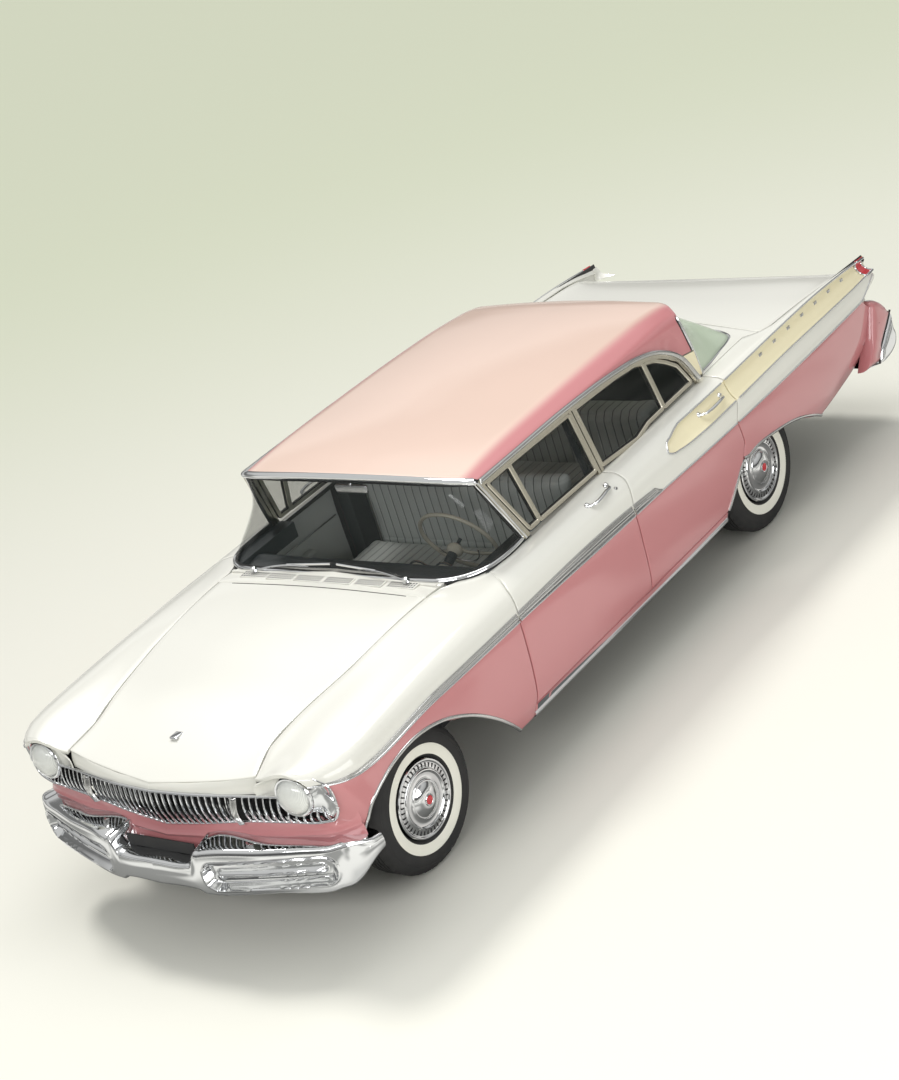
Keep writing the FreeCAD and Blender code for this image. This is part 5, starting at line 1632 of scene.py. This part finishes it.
def ringMesh(piece, count, radius, material):
    # the realised ring as a plain mesh
    mesh = bpy.data.meshes.new("ringPiece")
    mesh.from_pydata(piece.points, [], piece.faces)
    source = bpy.data.objects.new("ringPiece", mesh)
    holder = bpy.data.objects.new("ringHolder", bpy.data.meshes.new("ringHolder"))
    for thing in (source, holder):
        bpy.context.scene.collection.objects.link(thing)
    modifier = holder.modifiers.new("ring", "NODES")
    modifier.node_group = ringTree
    for name, value in (("Piece", source), ("Count", count), ("Radius", radius), ("Material", material)):
        modifier[ringInput[name]] = value
    deps = bpy.context.evaluated_depsgraph_get()
    made = bpy.data.meshes.new_from_object(holder.evaluated_get(deps), depsgraph=deps)
    points = [v.co[:] for v in made.vertices]
    faces = [tuple(p.vertices) for p in made.polygons]
    for thing in (holder, source):
        bpy.data.objects.remove(thing)
    return Shape().add(points, faces)


wheel = {"front": (-1.808, .7545), "rear": (1.291, .7495)}      # y of the axle and x of the hub
hubHeight = .343


def tyreShape():
    # sidewalls with a raised white ring outside, and a tread of zigzag ribs, round the X axis
    side = [(.184, .070), (.190, .080), (.1965, .0885), (.2005, .0905), (.2015, .0925), (.2025, .0930),
            (.215, .0955),
            (.235, .0980), (.2495, .0992), (.2505, .0988), (.2515, .0975), (.262, .0985), (.280, .0975),
            (.298, .0940),
            (.3005, .0925), (.303, .0940), (.316, .0880), (.328, .0785), (.3355, .0700), (.3400, .0600)]
    tread = []
    for d in (.046, .022, -.002, -.026, -.050):
        tread += [(.3428, d + .0125), (.3430, d + .0070), (.3370, d + .0055), (.3370, d + .0015), (.3430, d)]
    steps = 168
    profile = side + tread + [(r, -d) for r, d in side[::-1]]
    r, d = np.array(profile).T
    a = np.linspace(0, 2 * math.pi, steps, endpoint=False)
    zig = np.where(np.arange(steps) % 4 < 2, .0016, -.0016)[None, :]
    isTread = np.zeros(len(r), bool)
    isTread[len(side):len(side) + len(tread)] = True
    dd = d[:, None] + np.where(isTread[:, None], zig, 0)
    block = np.where(np.arange(steps) % 4 == 0, .0035, 0)[None, :]
    shoulder = ((np.abs(d) > .056) & (r > .327))[:, None]
    rr = r[:, None] - np.where(shoulder, block, 0)
    rows = np.stack([dd, rr * np.cos(a), rr * np.sin(a)], -1)
    middle = (r[1:] + r[:-1]) / 2
    white = (middle >= .2015) & (middle <= .2505) & (d[:-1] > 0)
    return Shape().grid(rows, [[int(w)] * steps for w in white], around=True)


coverProfile = [(.1815, .0770), (.1835, .0860), (.1830, .0905), (.1795, .0945), (.1745, .0955),
                (.1705, .0940),
                (.1675, .0905), (.1650, .0895), (.1400, .0930), (.1375, .0950), (.1345, .0985),
                (.1300, .0990),
                (.1260, .0965), (.1235, .0935), (.1180, .0915), (.1020, .0915), (.0900, .0945),
                (.0860, .0985),
                (.0835, .0990), (.0800, .0985), (.0720, .1035), (.0600, .1105), (.0450, .1160),
                (.0320, .1185),
                (.0280, .1180)]
hubProfile = [(.0285, .1175), (.0285, .1205), (.0260, .1222), (.0225, .1215), (.0205, .1200)]
badgeProfile = [(.0206, .1200), (.0150, .1215), (.0080, .1225), (.0020, .1228), (0, .1228)]
barrelProfile = [(.1815, .0775), (.1780, .0700), (.1640, .0580), (.1600, .0300), (.1600, -.0300),
                 (.1660, -.0560),
                 (.1820, -.0700), (.1900, -.0760), (.1890, -.0795), (.1780, -.0760), (.1560, -.0600),
                 (.1520, -.0300)]
drumProfile = [(.1490, -.0180), (.1490, -.0560), (.1440, -.0640), (.1300, -.0680), (.0700, -.0700),
               (.0640, -.0775),
               (.0130, -.0775)]

# the cover's slots are dark boxes, painted shade for their openings
slot = softBox((-.0100, -.0034, -.0012), (.0100, .0034, .0022), .0012, steps=1)
slotRing = ringMesh(slot, 40, .1525, rubber)
tyreMade = tyreShape()


def placed(shape, s, x, y):
    # from the origin to a wheel on side s
    p = np.array(shape.points)
    faces = shape.faces if s > 0 else [f[::-1] for f in shape.faces]
    return Shape().add(np.stack([s * (x + p[:, 0]), y + p[:, 1], hubHeight + p[:, 2]], 1), faces,
                       shape.finish)


cover = Shape()
# the badge takes the red lens finish, so it glows faintly though it is no lamp: painted glow
lathed = ((coverProfile, 0), (hubProfile, 0), (badgeProfile, 1), (barrelProfile, 2), (drumProfile, 3))
for profile, finish in lathed:
    cover.join(lathe(profile, (0, 0, 0), (1, 0, 0), 96, finish))
cover.add([(.0912 + z, x, y) for x, y, z in slotRing.points], slotRing.faces, 4)
coverFinishes = [chrome, redLens, stainless, castIron, rubber]
for side, s in (("left", 1), ("right", -1)):
    for end, (y, x) in wheel.items():
        name = (end + side).capitalize()
        body = f"wheel_{end}_{side}"
        made = placed(tyreMade, s, x, y).build("tyre" + name, [rubber, whitewall], body, angle=28)
        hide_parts(f"tyre_{end}_{side}")
        made = placed(cover, s, x, y).build("wheel" + name, coverFinishes, body, angle=32)
        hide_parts(f"wheel_{end}_{side}")
print("wheels made")

cabin = {"voxel": .0095, "quickVoxel": .012, "swell": .018, "pressure": 4.0, "frames": 20,
         "tuck": .008, "pitch": .052, "pleat": .009}
pads = {
    "frontCushion": {"low": (-.674, -.508, .474), "high": (.674, -.086, .620), "crown": .010, "top": 2,
                     "face": 1, "edge": (-.46, -.11, .64), "facing": (0, 0, 1),
                     "node": "front_seat_cushion"},
    "frontBack": {"low": (-.674, -.058, .474), "high": (.674, .018, 1.012), "crown": .008, "top": 1,
                  "face": 2, "edge": (.62, .975, .64), "facing": (0, -1, 0), "node": "front_seat_back"},
    "rearCushion": {"low": (-.586, .462, .512), "high": (.586, .788, .636), "crown": .010, "top": 2,
                    "face": 1, "edge": (.50, .76, .55), "facing": (0, 0, 1), "node": "rear_seat_cushion"},
    "rearBack": {"low": (-.586, .812, .512), "high": (.586, .966, .926), "crown": .010, "top": 1,
                 "face": 2, "edge": (.56, .89, .55), "facing": (0, -1, 0), "node": "rear_seat_back"}}


def crowned(low, high, crown, top):
    # a closed seat pad, fuller in the middle, its sides tucked in between the corners
    low, high = np.asarray(low, float), np.asarray(high, float)
    shape = softBox(low, high, .035, steps=4)
    points = np.array(shape.points)
    middle, half = (low + high) / 2, (high - low) / 2
    u = (points - middle) / half
    out = points.copy()
    for k in range(3):
        others = [i for i in range(3) if i != k]
        full = np.prod([np.cos(np.clip(u[:, i], -1, 1) * math.pi / 2) for i in others], axis=0)
        out[:, k] += u[:, k] * (crown if k == top else -cabin["tuck"]) * full
    return Shape().add(out, shape.faces)


def applyTo(thing):
    deps = bpy.context.evaluated_depsgraph_get()
    made = bpy.data.meshes.new_from_object(thing.evaluated_get(deps), depsgraph=deps)
    thing.modifiers.clear()
    thing.data = made


def padMesh(name, shape):
    # swollen by a short cloth run, then applied
    mesh = bpy.data.meshes.new(name)
    mesh.from_pydata(shape.points, [], shape.faces)
    bm = bmesh.new()
    bm.from_mesh(mesh)
    bmesh.ops.remove_doubles(bm, verts=bm.verts, dist=1e-5)
    bmesh.ops.recalc_face_normals(bm, faces=bm.faces)
    bm.to_mesh(mesh)
    bm.free()
    thing = bpy.data.objects.new(name, mesh)
    bpy.context.scene.collection.objects.link(thing)
    modifier = thing.modifiers.new("voxels", "REMESH")
    modifier.mode, modifier.voxel_size = "VOXEL", cabin["voxel"]
    applyTo(thing)
    start = np.array([v.co[:] for v in thing.data.vertices])
    cloth = thing.modifiers.new("cloth", "CLOTH")
    cloth.settings.use_pressure = True
    cloth.settings.uniform_pressure_force = cabin["pressure"]
    cloth.settings.effector_weights.gravity = 0.0
    cloth.settings.quality = 4
    cloth.collision_settings.use_collision = False
    for f in range(1, cabin["frames"] + 1):
        bpy.context.scene.frame_set(f)
    applyTo(thing)
    bpy.context.scene.frame_set(1)
    end = np.array([v.co[:] for v in thing.data.vertices])
    move = end - start
    far = np.linalg.norm(move, axis=1, keepdims=True)
    end = start + move * np.minimum(1, cabin["swell"] / np.maximum(far, 1e-9))
    thing.data.vertices.foreach_set("co", end.ravel())
    return thing


def pleated(thing, face, edge, facing):
    # sewn pleats run across the middle of one face; a piped seam bounds them
    modifier = thing.modifiers.new("fine", "SUBSURF")
    modifier.levels = modifier.render_levels = 1
    applyTo(thing)
    mesh = thing.data
    mesh.update()
    p = np.empty(len(mesh.vertices) * 3)
    mesh.vertices.foreach_get("co", p)
    p = p.reshape(-1, 3)
    n = np.empty(len(mesh.vertices) * 3)
    mesh.vertices.foreach_get("normal", n)
    n = n.reshape(-1, 3)
    toward = np.clip(n @ unit(facing), 0, 1) ** .5
    groove = np.abs(((p[:, 0] / cabin["pitch"]) % 1) - .5) * 2
    groove = np.clip(1 - (1 - groove) / .22, 0, 1) ** 1.5
    inside = np.clip((edge[1] - p[:, face]) / .012, 0, 1) * np.clip((p[:, face] - edge[0]) / .012, 0, 1)
    inside = inside * np.clip((edge[2] - np.abs(p[:, 0])) / .012, 0, 1)
    seam = np.exp(-((p[:, face] - edge[1]) / .006) ** 2) + np.exp(-((p[:, face] - edge[0]) / .006) ** 2)
    p -= n * (toward * cabin["pleat"] * (groove * inside + .5 * seam))[:, None]
    mesh.vertices.foreach_set("co", p.ravel())
    thing.data.materials.clear()
    thing.data.materials.append(pleatedVinyl)
    thing.data.polygons.foreach_set("use_smooth", [True] * len(thing.data.polygons))


for name, d in pads.items():
    pad = padMesh(name, crowned(d["low"], d["high"], d["crown"], d["top"]))
    pleated(pad, d["face"], d["edge"], d["facing"])
    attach(pad, "body")
    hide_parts(d["node"])
print("seats made")


def steering():
    # a scalloped cream rim, two spokes in a V, a bright horn ring and the hub
    rake = math.radians(24)
    centre, axis = np.array((.380, -.590, .940)), np.array((0, math.cos(rake), math.sin(rake)))
    right = np.array((1.0, 0, 0))
    up = np.cross(right, axis)

    def at(r, a, d=0.0):
        a = np.asarray(a, float)[..., None]
        return centre + right * r * np.cos(a) + up * r * np.sin(a) + axis * d
    a = np.linspace(0, 2 * math.pi, 181)[:-1]
    scallop = 1 - .10 * np.clip(np.cos(a * 40), 0, 1)
    made = sweep(at(.205, a), circle(.0105, 14), axis, closed=True, scale=scallop)
    for angle in (-28, 208):
        b = math.radians(angle)
        line = np.array([at(r, b, d)[()] for r, d in ((.030, -.045), (.075, -.042), (.135, -.022),
                                                      (.200, 0))])
        made.join(sweep(along(line, 16, True), circle(.013, 10, .45), axis))
    hub = [(0, -.030), (.020, -.031), (.036, -.038), (.042, -.050), (.040, -.066), (.024, -.080), (0, -.080)]
    made.join(lathe(hub, centre, axis, 40))
    thing = made.build("steeringWheel", [cream], "steering_wheel")
    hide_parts("steering_wheel")
    b = np.radians(np.linspace(190, 350, 60))
    horn = sweep(at(.118, b, -.034), circle(.0035, 8), axis)
    horn.join(lathe([(0, -.020), (.012, -.021), (.022, -.027), (.024, -.033), (0, -.034)], centre, axis, 32))
    horn.build("hornRing", [chrome], "steering_wheel")


steering()


def makeDash():
    # a rolled top, and two dials with a row of keys and a bar beside them
    x = np.linspace(-.694, .694, 61)
    line = [(-.985, .952), (-.930, .960), (-.870, .956), (-.832, .938), (-.826, .905), (-.846, .872),
            (-.850, .830), (-.880, .800)]
    p = along(line, 26, True)
    rows = np.stack([np.stack([x, y + .020 * (x / .7) ** 2, np.full(61, z)], 1) for y, z in p])
    shellOf(rows, .008, .001, facing=(0, 0, 1)).build("dashTop", [dashPaint])
    bright, dials = Shape(), Shape()
    rim = [(.060, .002), (.066, .006), (.070, .002), (.070, -.004), (.060, -.004), (.060, .002)]
    for at in (.30, .46):
        bright.join(lathe(rim, (at, -.822, .895), (0, 1, .1), 36))
        dials.join(lathe([(0, .002), (.060, 0), (.060, -.004), (0, -.004)], (at, -.822, .895), (0, 1, .1),
                         36))
    for k in range(5):
        bright.join(softBox((-.10 + k * .045, -.832, .880), (-.078 + k * .045, -.812, .896), .004))
    bright.join(softBox((-.62, -.828, .862), (-.20, -.818, .868), .002))
    bright.build("dashTrim", [chrome])
    dials.build("dashDials", [cream])
    softBox((-.100, -.796, 1.292), (.100, -.776, 1.338), .010).build("mirror", [chrome])
    stalk = along([(0, -.790, 1.330), (0, -.786, 1.355), (0, -.770, 1.372)], 8)
    sweep(stalk, circle(.006, 8), (1, 0, 0)).build("mirrorStalk", [chrome])


def doorInside(door, y0, y1):
    # a pleated card with a bright line, a winder and an armrest, for the left door and the right
    y, z = np.meshgrid(np.linspace(y0, y1, 40), np.linspace(.44, .925, 28))
    x = .872 + .010 * np.sin((z - .44) / .485 * math.pi)
    pleat = np.where((z > .50) & (z < .74), .004 * np.abs(np.sin(y * math.pi / .05)), 0)
    card = shellOf(np.stack([x - pleat, y, z], -1), .008, .001, facing=(-1, 0, 0))
    metal = softBox((.862, y0 + .03, .758), (.872, y1 - .03, .766), .002)
    knob = [(0, .030), (.010, .028), (.012, .020), (.009, .008), (.014, 0), (0, -.004)]
    metal.join(lathe(knob, (.868, y0 + .22, .80), (-1, 0, 0), 20))
    metal.join(softBox((.846, y0 + .21, .735), (.852, y0 + .23, .80), .003))
    middle = (y0 + y1) / 2
    rest = softBox((.820, middle - .11, .670), (.872, middle + .13, .700), .012)
    for name, shape, finish in (("doorCard", card, vinyl), ("doorCardTrim", metal, chrome),
                                ("armrest", rest, vinyl)):
        for side, made in (("left", shape), ("right", shape.mirrored())):
            made.build(f"{name}{door}{side}", [finish], f"door_{door}_{side}")


makeDash()
doorInside("front", -.90, -.075)
doorInside("rear", .085, .640)
print("cabin made")
